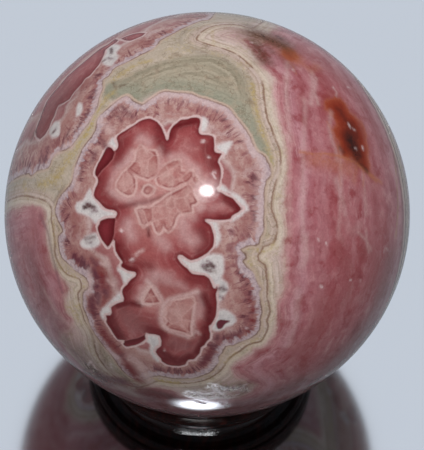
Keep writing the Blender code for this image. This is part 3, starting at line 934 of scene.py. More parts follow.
def camera_axes():
    """The camera's right, up and back directions in the object's frame."""
    rise = Vector((0.0, math.sin(CAMERA_ELEVATION), math.cos(CAMERA_ELEVATION)))
    level = Vector((1.0, 0.0, 0.0))
    right = math.cos(CAMERA_ROLL) * level + math.sin(CAMERA_ROLL) * rise
    up = math.cos(CAMERA_ROLL) * rise - math.sin(CAMERA_ROLL) * level
    back = Vector((0.0, -math.cos(CAMERA_ELEVATION), math.sin(CAMERA_ELEVATION)))
    return right, up, back


def ring_angles():
    """The angles from the camera's axis of the mesh's rings, and how many vertices each has."""
    rings = []
    angle = 0.0
    while angle < math.pi - 0.6 * BACK_SPACING / RADIUS_IN_PIXELS:
        share = min(max((angle - FACE_ENDS) / (BACK_BEGINS - FACE_ENDS), 0.0), 1.0)
        spacing = FACE_SPACING + (BACK_SPACING - FACE_SPACING) * share
        if angle > 0.0:
            count = max(6, round(math.tau * math.sin(angle) * RADIUS_IN_PIXELS / spacing))
            rings.append((angle, count))
        angle += spacing * math.sqrt(0.75) / RADIUS_IN_PIXELS
    return rings


def stitched(low_start, low_count, high_start, high_count, half_turn):
    """The triangles between two rings of different counts, whose second may start half a step round."""
    faces = []
    low = 0
    high = 0
    while low < low_count or high < high_count:
        low_turn = (low + 1) / low_count
        high_turn = (high + 1 + half_turn) / high_count
        if high >= high_count or (low < low_count and low_turn <= high_turn):
            faces.append((low_start + low % low_count, low_start + (low + 1) % low_count,
                          high_start + high % high_count))
            low += 1
        else:
            faces.append((low_start + low % low_count, high_start + (high + 1) % high_count,
                          high_start + high % high_count))
            high += 1
    return faces


def stone_directions_and_faces():
    """Unit vectors in the camera's axes for the stone's vertices, and the triangles between them."""
    rings = ring_angles()
    directions = [np.array([[0.0, 0.0, 1.0]])]
    starts = []
    filled = 1
    for angle, count in rings:
        turns = np.arange(count) / count * math.tau
        ring = np.stack([np.cos(turns), np.sin(turns), np.zeros(count)], axis=1) * math.sin(angle)
        ring[:, 2] = math.cos(angle)
        directions.append(ring)
        starts.append(filled)
        filled += count
    directions.append(np.array([[0.0, 0.0, -1.0]]))
    first_count = rings[0][1]
    faces = [(0, 1 + place, 1 + (place + 1) % first_count) for place in range(first_count)]
    for index in range(len(rings) - 1):
        inner = stitched(starts[index], rings[index][1], starts[index + 1], rings[index + 1][1], 0.0)
        faces += [(a, c, b) for a, b, c in inner]
    last_start = starts[-1]
    last_count = rings[-1][1]
    faces += [(filled, last_start + (place + 1) % last_count, last_start + place) for place in range(last_count)]
    return np.vstack(directions), faces


def make_stone(centre, radius):
    """The sphere's surface, with the pattern's fields on its vertices."""
    directions, faces = stone_directions_and_faces()
    right, up, back = camera_axes()
    places = np.array(centre) + radius * directions @ np.array([right, up, back])
    mesh = bpy.data.meshes.new("polished_sphere")
    mesh.from_pydata(places.tolist(), [], faces)
    mesh.shade_smooth()
    pattern = Pattern(directions)
    lay_seen_pattern(pattern)
    lay_hidden_formations(pattern)
    lay_hidden_rosettes(pattern)
    pattern.fields["along"] = pattern.along
    for name, values in pattern.fields.items():
        attribute = mesh.attributes.new(name, "FLOAT", "POINT")
        attribute.data.foreach_set("value", values.astype(np.float32))
    stone = bpy.data.objects.new("polished_sphere", mesh)
    bpy.context.scene.collection.objects.link(stone)
    return stone


def colour(red, green, blue):
    """A linear colour from one given as it looks on a screen, from 0 to 255."""
    levels = []
    for level in (red, green, blue):
        share = level / 255.0
        levels.append(share / 12.92 if share <= 0.04045 else ((share + 0.055) / 1.055) ** 2.4)
    return (*levels, 1.0)


class Shading:
    """Adds nodes to one node tree."""

    def __init__(self, tree):
        self.tree = tree

    def node(self, kind, **settings):
        made = self.tree.nodes.new(kind)
        for name, value in settings.items():
            setattr(made, name, value)
        return made

    def plug(self, socket, value):
        """Links an output to a socket, or sets the socket's own value."""
        if isinstance(value, bpy.types.NodeSocket):
            self.tree.links.new(value, socket)
        else:
            socket.default_value = value

    def maths(self, operation, *values):
        made = self.node("ShaderNodeMath", operation=operation)
        for socket, value in zip(made.inputs, values):
            self.plug(socket, value)
        return made.outputs["Value"]

    def field(self, name):
        """A value that the mesh keeps on its vertices."""
        return self.node("ShaderNodeAttribute", attribute_name=name).outputs["Fac"]

    def rise(self, value, start, end):
        """A mask that goes smoothly from 0 at start to 1 at end."""
        made = self.node("ShaderNodeMapRange", interpolation_type="SMOOTHSTEP")
        self.plug(made.inputs["Value"], value)
        self.plug(made.inputs["From Min"], start)
        self.plug(made.inputs["From Max"], end)
        return made.outputs["Result"]

    def inside(self, distance, softness=1.0):
        """A mask of what is inside an outline."""
        return self.maths("SUBTRACT", 1.0, self.rise(distance, -softness, softness))

    def line(self, distance, width, softness=1.0):
        """A mask of a line along an outline."""
        away = self.maths("ABSOLUTE", distance)
        return self.maths("SUBTRACT", 1.0, self.rise(away, width / 2 - softness / 2, width / 2 + softness))

    def noise(self, place, size, detail=2.0, roughness=0.5, across=None):
        """Noise with grains of some size in the pattern's units, drawn out along the lines of equal across."""
        made = self.node("ShaderNodeTexNoise", noise_dimensions="3D" if across is None else "4D")
        self.plug(made.inputs["Vector"], place)
        if across is not None:
            self.plug(made.inputs["W"], self.maths("MULTIPLY", across, size))
        made.inputs["Scale"].default_value = 1.0 / size
        made.inputs["Detail"].default_value = detail
        made.inputs["Roughness"].default_value = roughness
        return made.outputs["Fac"]

    def cells(self, place, size):
        """Crystal-like cells: one random value for each, and the distance to the nearest edge in cell sizes."""
        found = []
        for feature, output in (("F1", "Color"), ("DISTANCE_TO_EDGE", "Distance")):
            made = self.node("ShaderNodeTexVoronoi", feature=feature)
            self.plug(made.inputs["Vector"], place)
            made.inputs["Scale"].default_value = 1.0 / size
            found.append(made.outputs[output])
        parts = self.node("ShaderNodeSeparateColor")
        self.plug(parts.inputs["Color"], found[0])
        return parts.outputs["Red"], found[1]

    def share(self, value, start, end, most):
        """A mask like rise's, up to a share below 1."""
        return self.maths("MULTIPLY", self.rise(value, start, end), most)

    def times_share(self, field, value, start, end, most):
        """A share that rises with a value, where a field is laid."""
        return self.maths("MULTIPLY", field, self.share(value, start, end, most))

    def times(self, one, other):
        """Two colours multiplied."""
        made = self.node("ShaderNodeMix", data_type="RGBA", blend_type="MULTIPLY")
        made.inputs[0].default_value = 1.0
        self.plug(made.inputs[6], one)
        self.plug(made.inputs[7], other)
        return made.outputs[2]

    def mix(self, share, under, over):
        made = self.node("ShaderNodeMix", data_type="RGBA")
        self.plug(made.inputs[0], share)
        self.plug(made.inputs[6], under)
        self.plug(made.inputs[7], over)
        return made.outputs[2]

    def ramp(self, value, stops, reach=1.0):
        """A colour that changes with a value, from stops of (value, colour) up to reach."""
        made = self.node("ShaderNodeValToRGB")
        elements = made.color_ramp.elements
        elements[0].position = stops[0][0] / reach
        elements[0].color = stops[0][1]
        elements[1].position = stops[-1][0] / reach
        elements[1].color = stops[-1][1]
        for position, shade in stops[1:-1]:
            elements.new(position / reach).color = shade
        self.plug(made.inputs["Fac"], self.maths("DIVIDE", value, reach))
        return made.outputs["Color"]


def new_material(name):
    material = bpy.data.materials.new(name)
    material.use_nodes = True
    shading = Shading(material.node_tree)
    return material, shading, material.node_tree.nodes["Principled BSDF"]


def fine_scratches():
    """Shared by the stone and the wood: faint polishing marks, as a roughness that changes over the surface."""
    group = bpy.data.node_groups.new("Polishing marks", "ShaderNodeTree")
    for name, value in (("Even roughness", 0.08), ("Added roughness", 0.06), ("Scale", 400.0)):
        socket = group.interface.new_socket(name, in_out="INPUT", socket_type="NodeSocketFloat")
        socket.default_value = value
    group.interface.new_socket("Roughness", in_out="OUTPUT", socket_type="NodeSocketFloat")
    shading = Shading(group)
    given = shading.node("NodeGroupInput").outputs
    place = shading.node("ShaderNodeTexCoord").outputs["Object"]
    smudge = shading.node("ShaderNodeTexNoise")
    shading.plug(smudge.inputs["Vector"], place)
    shading.plug(smudge.inputs["Scale"], given["Scale"])
    smudge.inputs["Detail"].default_value = 3.0
    worn = shading.rise(smudge.outputs["Fac"], 0.45, 0.75)
    added = shading.maths("MULTIPLY", worn, given["Added roughness"])
    total = shading.maths("ADD", added, given["Even roughness"])
    result = shading.node("NodeGroupOutput")
    shading.plug(result.inputs["Roughness"], total)
    return group


def polishing_marks(shading, group, even, added, scale):
    """Places the shared marks in a material and gives their roughness."""
    made = shading.node("ShaderNodeGroup", node_tree=group)
    made.inputs["Even roughness"].default_value = even
    made.inputs["Added roughness"].default_value = added
    made.inputs["Scale"].default_value = scale
    return made.outputs["Roughness"]


def banded_ground(shading, place, cream, grains):
    """The pink stone far from the rosettes: bands and fine lines that follow the cream band, and clouds."""
    uneven = shading.maths("MULTIPLY_ADD", grains["cloudy"], 16.0, -8.0)
    away = shading.maths("ADD", cream, uneven)
    paint = shading.ramp(away, [
        (0.0, colour(208, 180, 166)),
        (4.0, colour(200, 152, 150)),
        (9.0, colour(186, 118, 124)),
        (18.0, colour(198, 140, 148)),
        (28.0, colour(180, 106, 114)),
        (40.0, colour(188, 122, 128)),
        (54.0, colour(176, 94, 100)),
        (68.0, colour(184, 110, 116)),
        (84.0, colour(172, 88, 94)),
        (104.0, colour(174, 92, 94)),
        (128.0, colour(160, 72, 74)),
        (150.0, colour(168, 92, 98)),
        (175.0, colour(150, 72, 76)),
        (200.0, colour(160, 84, 90)),
    ], 200.0)
    streak = shading.noise(place, 60.0, 3.0, 0.6, shading.maths("DIVIDE", away, 9.0))
    paint = shading.mix(shading.share(streak, 0.50, 0.72, 0.6), paint, colour(212, 160, 164))
    paint = shading.mix(shading.share(streak, 0.50, 0.30, 0.6), paint, colour(144, 56, 64))
    lines = shading.noise(place, 80.0, 1.0, 0.5, shading.maths("DIVIDE", cream, 2.0))
    close = shading.maths("MULTIPLY", shading.rise(cream, 40.0, 8.0), shading.rise(grains["broad"], 0.3, 0.6))
    lined = shading.maths("MULTIPLY", shading.share(lines, 0.50, 0.66, 0.45), close)
    paint = shading.mix(lined, paint, colour(150, 80, 86))
    lined = shading.maths("MULTIPLY", shading.share(lines, 0.48, 0.34, 0.40), close)
    paint = shading.mix(lined, paint, colour(216, 176, 176))
    cloud = shading.noise(place, 20.0, 5.0, 0.62)
    paint = shading.mix(shading.share(cloud, 0.52, 0.70, 0.45), paint, colour(214, 158, 160))
    paint = shading.mix(shading.share(cloud, 0.48, 0.30, 0.7), paint, colour(148, 50, 56))
    facet, _ = shading.cells(place, 7.0)
    paint = shading.mix(shading.share(facet, 0.5, 1.0, 0.12), paint, colour(220, 172, 174))
    paint = shading.mix(shading.share(facet, 0.5, 0.0, 0.14), paint, colour(136, 52, 60))
    rosy = shading.maths("MULTIPLY", shading.field("rose"), shading.maths("MULTIPLY_ADD", cloud, 1.2, 0.1))
    return shading.mix(rosy, paint, colour(150, 66, 66))


def lined_border(shading, place, outer, grains):
    """The cream and tan bands on both sides of the brown outer line."""
    shifted = shading.maths("ADD", outer, 24.0)
    paint = shading.ramp(shifted, [
        (0.0, colour(194, 178, 161)),
        (8.0, colour(184, 170, 155)),
        (14.0, colour(190, 174, 157)),
        (18.0, colour(196, 174, 161)),
        (21.5, colour(206, 184, 175)),
        (25.5, colour(212, 192, 175)),
        (29.0, colour(222, 206, 191)),
        (32.0, colour(208, 184, 173)),
        (34.0, colour(220, 200, 191)),
        (40.0, colour(212, 184, 179)),
        (50.0, colour(200, 164, 161)),
        (60.0, colour(194, 152, 151)),
    ], 60.0)
    deep = shading.rise(outer, -6.0, -20.0)
    mottled = shading.maths("MULTIPLY_ADD", grains["fine"], 0.5, shading.maths("MULTIPLY", grains["cloudy"], 0.5))
    paint = shading.mix(shading.share(mottled, 0.50, 0.62, 0.5), paint, colour(190, 170, 132))
    paint = shading.mix(shading.share(grains["middling"], 0.52, 0.70, 0.5), paint, colour(166, 148, 124))
    paint = shading.mix(shading.share(grains["middling"], 0.46, 0.28, 0.5), paint, colour(220, 202, 188))
    thin = shading.noise(place, 60.0, 1.0, 0.5, shading.maths("DIVIDE", outer, 2.3))
    dark = shading.maths("MULTIPLY", shading.rise(thin, 0.52, 0.66), shading.maths("MULTIPLY_ADD", deep, -0.3, 0.4))
    paint = shading.mix(dark, paint, colour(164, 136, 114))
    light = shading.maths("MULTIPLY", shading.rise(thin, 0.46, 0.34), shading.maths("MULTIPLY_ADD", deep, -0.3, 0.4))
    return shading.mix(light, paint, colour(226, 206, 190))


def stone_colour(shading, place):
    """The whole pattern, from the ground up to the petals, with painted shade towards the limbs and painted sparkles
    where single crystals catch the light.
    """
    grains = {
        "fine": shading.noise(place, 3.0, 3.0, 0.6),
        "middling": shading.noise(place, 8.0, 4.0, 0.6),
        "cloudy": shading.noise(place, 18.0, 4.0, 0.55),
        "broad": shading.noise(place, 42.0, 2.0),
    }
    fine = grains["fine"]
    middling = grains["middling"]
    small_shift = shading.maths("MULTIPLY_ADD", fine, 2.4, -1.2)
    shift = shading.maths("MULTIPLY_ADD", middling, 6.0, -3.0)

    cream = shading.maths("ADD", shading.field("cream"), shift)
    outer = shading.maths("ADD", shading.field("outer"), small_shift)
    halo = shading.maths("ADD", shading.field("halo"), small_shift)
    petal = shading.field("petal")

    paint = banded_ground(shading, place, cream, grains)
    border = lined_border(shading, place, outer, grains)
    within = shading.maths("MINIMUM", cream, outer)
    paint = shading.mix(shading.inside(within, 4.0), paint, border)
    paint = olive_zones(shading, place, paint, shift, grains)
    faint = shading.maths("MULTIPLY", shading.line(outer, 1.3, 1.3), shading.share(grains["cloudy"], 0.30, 0.5, 0.9))
    paint = shading.mix(faint, paint, colour(144, 110, 92))
    vein = shading.maths("ABSOLUTE", shading.maths("SUBTRACT", grains["cloudy"], 0.5))
    veined = shading.maths("MULTIPLY", shading.share(vein, 0.018, 0.0, 0.45), shading.inside(outer, 2.0))
    paint = shading.mix(veined, paint, colour(124, 106, 84))
    ochre = shading.maths("MULTIPLY", shading.field("ochre"), shading.rise(fine, 0.25, 0.65))
    paint = shading.mix(ochre, paint, colour(188, 164, 104))
    paint = rusty(shading, paint, grains)

    paint = shading.mix(shading.inside(shading.maths("SUBTRACT", halo, 2.8)), paint, colour(198, 174, 156))
    paint = shading.mix(shading.inside(halo), paint, halo_colour(shading, place, halo, grains))
    outlined = shading.maths("MULTIPLY", shading.line(halo, 1.0, 1.0), shading.share(grains["cloudy"], 0.3, 0.55, 0.85))
    paint = shading.mix(outlined, paint, colour(130, 100, 86))
    paint = snowy(shading, paint, small_shift, grains)
    paint = shading.mix(shading.inside(shading.field("spot")), paint, colour(104, 40, 52))
    rim = shading.maths("SUBTRACT", petal, shading.maths("MULTIPLY_ADD", grains["middling"], 5.0, -0.4))
    paint = shading.mix(shading.share(rim, 0.8, -0.8, 0.9), paint, colour(220, 190, 188))
    paint = shading.mix(shading.inside(petal, 0.9), paint, petal_colour(shading, place, petal, grains))

    # The strokes' tones. The darkest is partly painted shade towards the limbs, and the last one is painted sparkle on
    # single crystals.
    for name, tone, strength in (
        ("dark_tone_and_painted_shade", colour(84, 52, 48), 0.9),
        ("maroon", colour(122, 26, 30), 0.95),
        ("plum", colour(104, 58, 70), 0.9),
        ("pale", colour(218, 186, 182), 0.8),
        ("amber", colour(190, 116, 80), 0.8),
        ("brown", colour(90, 56, 36), 0.85),
        ("core", colour(50, 18, 14), 0.8),
        ("painted_sparkle", colour(244, 222, 222), 1.0),
    ):
        grainy = shading.maths("MULTIPLY_ADD", fine, 1.4, 0.3)
        share = shading.maths("MULTIPLY", shading.maths("MULTIPLY", shading.field(name), grainy), strength)
        paint = shading.mix(share, paint, tone)

    # Bright flecks and dark gaps in the pitted patch: partly the pits' own colour, partly painted sparkle where they
    # catch the light and painted shade in their hollows.
    sparkle_and_pit_shade_noise = shading.noise(place, 2.6, 3.0, 0.65)
    pitted = shading.field("vug")
    paint = shading.mix(shading.times_share(pitted, sparkle_and_pit_shade_noise, 0.48, 0.38, 0.8), paint, colour(72, 58, 48))
    paint = shading.mix(shading.times_share(pitted, sparkle_and_pit_shade_noise, 0.56, 0.66, 0.9), paint, colour(244, 234, 214))
    speckle = shading.noise(place, 1.8, 2.0)
    shade = shading.mix(shading.rise(speckle, 0.3, 0.7), (0.90, 0.89, 0.89, 1.0), (1.02, 1.02, 1.02, 1.0))
    return shading.times(paint, shade)


def olive_zones(shading, place, paint, shift, grains):
    """Adds the olive stone, in thin layers that follow its own border."""
    olive = shading.maths("ADD", shading.field("olive"), shift)
    layers = shading.noise(place, 50.0, 2.0, 0.5, shading.maths("DIVIDE", olive, 4.0))
    tone = shading.mix(shading.rise(layers, 0.35, 0.62), colour(182, 170, 150), colour(156, 146, 126))
    green = shading.rise(shading.field("halo"), 24.0, 6.0)
    tone = shading.mix(shading.maths("MULTIPLY", green, 0.7), tone, colour(152, 154, 136))
    tone = shading.mix(shading.share(grains["middling"], 0.5, 0.7, 0.5), tone, colour(182, 162, 140))
    tone = shading.mix(shading.share(grains["fine"], 0.60, 0.70, 0.45), tone, colour(118, 108, 92))
    return shading.mix(shading.inside(olive, 4.0), paint, tone)


def rusty(shading, paint, grains):
    """Adds the rusty patches: orange-brown at their edges and darker in depth."""
    rust = shading.maths("ADD", shading.field("rust"), shading.maths("MULTIPLY_ADD", grains["middling"], 9.0, -4.5))
    glow = shading.maths("MULTIPLY", shading.inside(shading.maths("SUBTRACT", rust, 3.0), 8.0), 0.5)
    paint = shading.mix(glow, paint, colour(164, 80, 62))
    depth = shading.maths("MAXIMUM", shading.maths("MULTIPLY", rust, -1.0), 0.0)
    tone = shading.ramp(depth, [
        (0.0, colour(176, 90, 64)),
        (4.0, colour(160, 64, 38)),
        (9.0, colour(144, 46, 22)),
        (15.0, colour(118, 36, 18)),
    ], 15.0)
    tone = shading.mix(shading.share(grains["middling"], 0.52, 0.68, 0.4), tone, colour(150, 60, 36))
    return shading.mix(shading.inside(rust, 3.0), paint, tone)


def snowy(shading, paint, shift, grains):
    """Adds the snow-white patches, with a few dark crystals in their middles."""
    snow = shading.maths("ADD", shading.field("snow"), shift)
    tone = shading.mix(shading.share(grains["middling"], 0.44, 0.66, 0.5), colour(222, 214, 212), colour(192, 184, 186))
    tone = shading.mix(shading.share(snow, -3.0, 1.0, 0.8), tone, colour(212, 186, 186))
    paint = shading.mix(shading.inside(snow, 2.0), paint, tone)
    deep = shading.rise(shading.field("snow"), -4.0, -7.0)
    dark = shading.maths("MULTIPLY", deep, shading.share(grains["fine"], 0.58, 0.68, 0.35))
    return shading.mix(dark, paint, colour(132, 100, 108))


def halo_colour(shading, place, halo, grains):
    """A rosette's halo: a lilac border, plum-coloured tufts that point inwards, and mottled rose."""
    depth = shading.maths("MULTIPLY", halo, -1.0)
    along = shading.field("along")
    tufts = shading.noise(place, 12.0, 2.0, 0.6, shading.maths("DIVIDE", along, 3.4))
    clumps = shading.noise(place, 26.0, 2.0, 0.5, shading.maths("DIVIDE", along, 12.0))
    rose = shading.mix(shading.rise(grains["middling"], 0.36, 0.64), colour(172, 122, 117), colour(194, 156, 149))
    rose = shading.mix(shading.share(grains["cloudy"], 0.52, 0.66, 0.5), rose, colour(212, 186, 184))
    rose = shading.mix(shading.share(grains["cloudy"], 0.47, 0.34, 0.5), rose, colour(160, 96, 96))
    rose = shading.mix(shading.share(grains["fine"], 0.54, 0.66, 0.45), rose, colour(152, 94, 94))
    redder = shading.maths("MULTIPLY", shading.field("rose"), shading.share(grains["middling"], 0.3, 0.6, 1.0))
    rose = shading.mix(redder, rose, colour(140, 66, 66))
    waves = shading.maths("MULTIPLY_ADD", grains["broad"], 34.0, shading.maths("MULTIPLY", grains["cloudy"], 10.0))
    banded = shading.ramp(shading.maths("ADD", depth, shading.maths("SUBTRACT", waves, 22.0)), [
        (26.0, colour(186, 140, 134)),
        (34.0, colour(206, 180, 176)),
        (39.0, colour(160, 92, 94)),
        (50.0, colour(186, 126, 126)),
        (60.0, colour(208, 172, 166)),
        (65.0, colour(170, 96, 98)),
        (82.0, colour(188, 122, 122)),
        (92.0, colour(206, 164, 160)),
        (98.0, colour(158, 82, 84)),
        (130.0, colour(180, 110, 108)),
    ], 130.0)
    banded = shading.mix(shading.share(grains["fine"], 0.50, 0.66, 0.3), banded, colour(150, 86, 88))
    rose = shading.mix(shading.share(depth, 24.0, 32.0, 0.85), rose, banded)
    cover = shading.ramp(shading.maths("ADD", depth, shading.maths("MULTIPLY_ADD", clumps, 24.0, -12.0)), [
        (0.0, (0.46, 0.46, 0.46, 1.0)),
        (10.0, (0.44, 0.44, 0.44, 1.0)),
        (16.0, (0.52, 0.52, 0.52, 1.0)),
        (26.0, (0.66, 0.66, 0.66, 1.0)),
        (40.0, (0.80, 0.80, 0.80, 1.0)),
    ], 40.0)
    reddened = shading.maths("MULTIPLY_ADD", shading.field("rose"), 0.11, shading.maths("SUBTRACT", tufts, 0.02))
    above = shading.maths("SUBTRACT", reddened, cover)
    tone = shading.mix(shading.share(above, -0.03, 0.08, 0.65), rose, colour(140, 82, 88))
    tone = shading.mix(shading.share(above, 0.08, 0.18, 0.75), tone, colour(98, 48, 58))
    edge = shading.maths("ADD", shading.maths("MULTIPLY", tufts, 14.0), shading.maths("MULTIPLY", clumps, 12.0))
    lilac = shading.inside(shading.maths("SUBTRACT", depth, shading.maths("SUBTRACT", edge, 7.0)), 1.8)
    border = shading.mix(shading.rise(grains["fine"], 0.35, 0.65), colour(208, 186, 188), colour(182, 158, 164))
    border = shading.mix(shading.share(grains["fine"], 0.62, 0.72, 0.6), border, colour(134, 110, 112))
    return shading.mix(lilac, tone, border)


def petal_colour(shading, place, petal, grains):
    """Petals with crimson rims and milky middles, and the crystals of their hearts."""
    depth = shading.maths("MULTIPLY", petal, -1.0)
    uneven = shading.maths("MULTIPLY_ADD", grains["cloudy"], 24.0, -12.0)
    inward = shading.maths("MAXIMUM", shading.maths("ADD", depth, uneven), 0.0)
    paint = shading.ramp(inward, [
        (0.0, colour(144, 58, 62)),
        (7.0, colour(156, 72, 74)),
        (16.0, colour(168, 88, 88)),
        (30.0, colour(180, 106, 104)),
        (60.0, colour(188, 120, 116)),
    ], 60.0)
    paint = shading.mix(shading.share(grains["middling"], 0.5, 0.70, 0.35), paint, colour(202, 142, 138))
    paint = shading.mix(shading.share(grains["middling"], 0.48, 0.28, 0.45), paint, colour(150, 62, 62))
    growth = shading.noise(place, 40.0, 2.0, 0.6, shading.maths("DIVIDE", petal, 5.0))
    paint = shading.mix(shading.share(growth, 0.50, 0.70, 0.25), paint, colour(206, 150, 148))
    paint = shading.mix(shading.share(growth, 0.50, 0.34, 0.30), paint, colour(142, 56, 58))
    paint = shading.mix(shading.share(depth, 4.5, 0.0, 0.7), paint, colour(104, 20, 28))
    heart = shading.field("heart")
    near = shading.maths("MULTIPLY", shading.rise(heart, 9.0, 0.0), shading.rise(depth, 4.0, 10.0))
    bent = shading.node("ShaderNodeVectorMath", operation="ADD")
    shading.plug(bent.inputs[0], place)
    shading.plug(bent.inputs[1], shading.maths("MULTIPLY", grains["middling"], 5.0))
    facet, seam = shading.cells(bent.outputs["Vector"], 15.0)
    glow = shading.maths("MULTIPLY", shading.rise(heart, 12.0, 1.0), shading.rise(depth, 3.0, 16.0))
    paint = shading.mix(shading.maths("MULTIPLY", glow, 0.45), paint, colour(204, 150, 144))
    milky = shading.maths("MULTIPLY", shading.field("milk"), shading.maths("MULTIPLY_ADD", grains["middling"], 1.0, 0.25))
    paint = shading.mix(milky, paint, colour(214, 176, 174))
    deep = shading.maths("MULTIPLY", shading.field("red"), shading.maths("MULTIPLY_ADD", grains["middling"], 0.9, 0.5))
    paint = shading.mix(deep, paint, colour(98, 12, 20))
    under = shading.field("under")
    shaded = shading.ramp(shading.maths("MULTIPLY", under, -1.0), [
        (0.0, colour(90, 12, 20)),
        (8.0, colour(130, 42, 50)),
    ], 8.0)
    paint = shading.mix(shading.share(under, 2.4, 0.6, 0.3), paint, colour(196, 130, 130))
    paint = shading.mix(shading.inside(under, 0.8), paint, shaded)
    inner = shading.mix(shading.rise(grains["middling"], 0.36, 0.64), colour(180, 118, 114), colour(202, 152, 146))
    inner = shading.mix(shading.maths("MULTIPLY", milky, 0.7), inner, colour(206, 172, 164))
    inner = shading.mix(shading.maths("MULTIPLY", deep, 0.6), inner, colour(150, 74, 72))
    edged = shading.maths("MULTIPLY", shading.rise(heart, -2.6, -0.6), shading.share(grains["cloudy"], 0.4, 0.6, 0.8))
    inner = shading.mix(edged, inner, colour(142, 70, 72))
    paint = shading.mix(shading.inside(heart, 0.9), paint, inner)
    rim = shading.line(shading.maths("SUBTRACT", heart, 1.2), 1.3, 1.5)
    rim = shading.maths("MULTIPLY", rim, shading.share(grains["cloudy"], 0.25, 0.50, 0.85))
    paint = shading.mix(rim, paint, colour(220, 182, 176))
    dull = shading.maths("MULTIPLY", near, shading.share(facet, 0.45, 1.0, 0.35))
    paint = shading.mix(dull, paint, colour(160, 90, 86))
    lit = shading.maths("MULTIPLY", near, shading.share(facet, 0.45, 0.0, 0.35))
    paint = shading.mix(lit, paint, colour(204, 164, 158))
    seamed = shading.maths("MULTIPLY", near, shading.share(seam, 0.10, 0.0, 0.4))
    return shading.mix(seamed, paint, colour(212, 170, 164))


def stone_material(marks, radius):
    """Polished rhodochrosite."""
    material, shading, surface = new_material("Banded rhodochrosite")
    place = shading.node("ShaderNodeVectorMath", operation="SCALE")
    shading.plug(place.inputs[0], shading.node("ShaderNodeTexCoord").outputs["Object"])
    place.inputs["Scale"].default_value = RADIUS_IN_PIXELS / radius
    place = place.outputs["Vector"]
    shading.plug(surface.inputs["Base Color"], stone_colour(shading, place))
    rough = polishing_marks(shading, marks, 0.05, 0.05, 220.0)
    pitted = shading.field("vug")
    shading.plug(surface.inputs["Roughness"], shading.maths("MULTIPLY_ADD", pitted, 0.18, rough))
    pits = shading.maths("SUBTRACT", shading.noise(place, 4.0, 4.0, 0.75), 0.5)
    dents = shading.node("ShaderNodeBump")
    dents.inputs["Strength"].default_value = 1.0
    dents.inputs["Distance"].default_value = 0.0005
    shading.plug(dents.inputs["Height"], shading.maths("MULTIPLY", pits, pitted))
    shading.plug(surface.inputs["Normal"], dents.outputs["Normal"])
    surface.inputs["IOR"].default_value = 1.62
    return material


def wood_material(marks):
    """Dark red-brown lacquered hardwood, its grain running up through the turned ring."""
    material, shading, surface = new_material("Lacquered dark wood")
    place = shading.node("ShaderNodeMapping")
    shading.plug(place.inputs["Vector"], shading.node("ShaderNodeTexCoord").outputs["Object"])
    place.inputs["Scale"].default_value = (900.0, 130.0, 900.0)
    grain = shading.node("ShaderNodeTexNoise")
    shading.plug(grain.inputs["Vector"], place.outputs["Vector"])
    grain.inputs["Scale"].default_value = 1.0
    grain.inputs["Detail"].default_value = 5.0
    tone = shading.ramp(grain.outputs["Fac"], [
        (0.3, colour(30, 7, 5)),
        (0.55, colour(54, 13, 8)),
        (0.75, colour(84, 25, 15)),
    ])
    shading.plug(surface.inputs["Base Color"], tone)
    shading.plug(surface.inputs["Roughness"], polishing_marks(shading, marks, 0.07, 0.11, 500.0))
    pores = shading.node("ShaderNodeBump")
    pores.inputs["Strength"].default_value = 0.35
    pores.inputs["Distance"].default_value = 0.0001
    shading.plug(pores.inputs["Height"], grain.outputs["Fac"])
    shading.plug(surface.inputs["Normal"], pores.outputs["Normal"])
    surface.inputs["Specular IOR Level"].default_value = 0.15
    surface.inputs["Coat Weight"].default_value = 0.12
    surface.inputs["Coat Roughness"].default_value = 0.04
    return material


def make_floor():
    """The pale polished surface that the stand rests on, which mirrors it softly."""
    material, shading, mirror = new_material("Pale polished floor")
    mirror.inputs["Base Color"].default_value = colour(226, 230, 234)
    mirror.inputs["Metallic"].default_value = 1.0
    mirror.inputs["Roughness"].default_value = 0.11
    # The camera sees a bright mirror, and the stone a dim one, so that the stone's underside stays dark.
    grey = shading.node("ShaderNodeBsdfDiffuse")
    grey.inputs["Color"].default_value = (0.07, 0.07, 0.07, 1.0)
    path = shading.node("ShaderNodeLightPath").outputs
    place = shading.node("ShaderNodeSeparateXYZ")
    shading.plug(place.inputs["Vector"], shading.node("ShaderNodeTexCoord").outputs["Object"])
    beside = shading.maths("MULTIPLY_ADD", shading.rise(place.outputs["Y"], -0.035, 0.0), 0.34, 0.08)
    share = shading.maths("MULTIPLY_ADD", path["Is Glossy Ray"], beside, path["Is Camera Ray"])
    either = shading.node("ShaderNodeMixShader")
    shading.plug(either.inputs["Fac"], share)
    shading.plug(either.inputs[1], grey.outputs["BSDF"])
    shading.plug(either.inputs[2], mirror.outputs["BSDF"])
    # A soft glowing spot on the floor in front of the stand, seen only by reflected rays, is painted light that the
    # stone and its stand mirror as a soft glare.
    across = shading.maths("POWER", shading.maths("DIVIDE", place.outputs["X"], 0.0086), 2.0)
    ahead = shading.maths("DIVIDE", shading.maths("ADD", place.outputs["Y"], 0.034), 0.0064)
    reach = shading.maths("SQRT", shading.maths("ADD", across, shading.maths("POWER", ahead, 2.0)))
    spot = shading.maths("POWER", shading.rise(reach, 1.70, 0.10), 3.0)
    glare = shading.node("ShaderNodeEmission")
    glare.inputs["Color"].default_value = colour(234, 243, 255)
    shading.plug(glare.inputs["Strength"], shading.maths("MULTIPLY", shading.times_share(path["Is Glossy Ray"], spot,
                                                         0.0, 1.0, 1.0), 11.0))
    both = shading.node("ShaderNodeAddShader")
    shading.plug(both.inputs[0], either.outputs["Shader"])
    shading.plug(both.inputs[1], glare.outputs["Emission"])
    shading.plug(material.node_tree.nodes["Material Output"].inputs["Surface"], both.outputs["Shader"])
    material.cycles.emission_sampling = "NONE"
    half = 20.0
    mesh = bpy.data.meshes.new("pale_floor")
    mesh.from_pydata([(-half, -half, 0), (half, -half, 0), (half, half, 0), (-half, half, 0)], [], [(0, 1, 2, 3)])
    mesh.materials.append(material)
    floor = bpy.data.objects.new("pale_floor", mesh)
    bpy.context.scene.collection.objects.link(floor)
    return floor


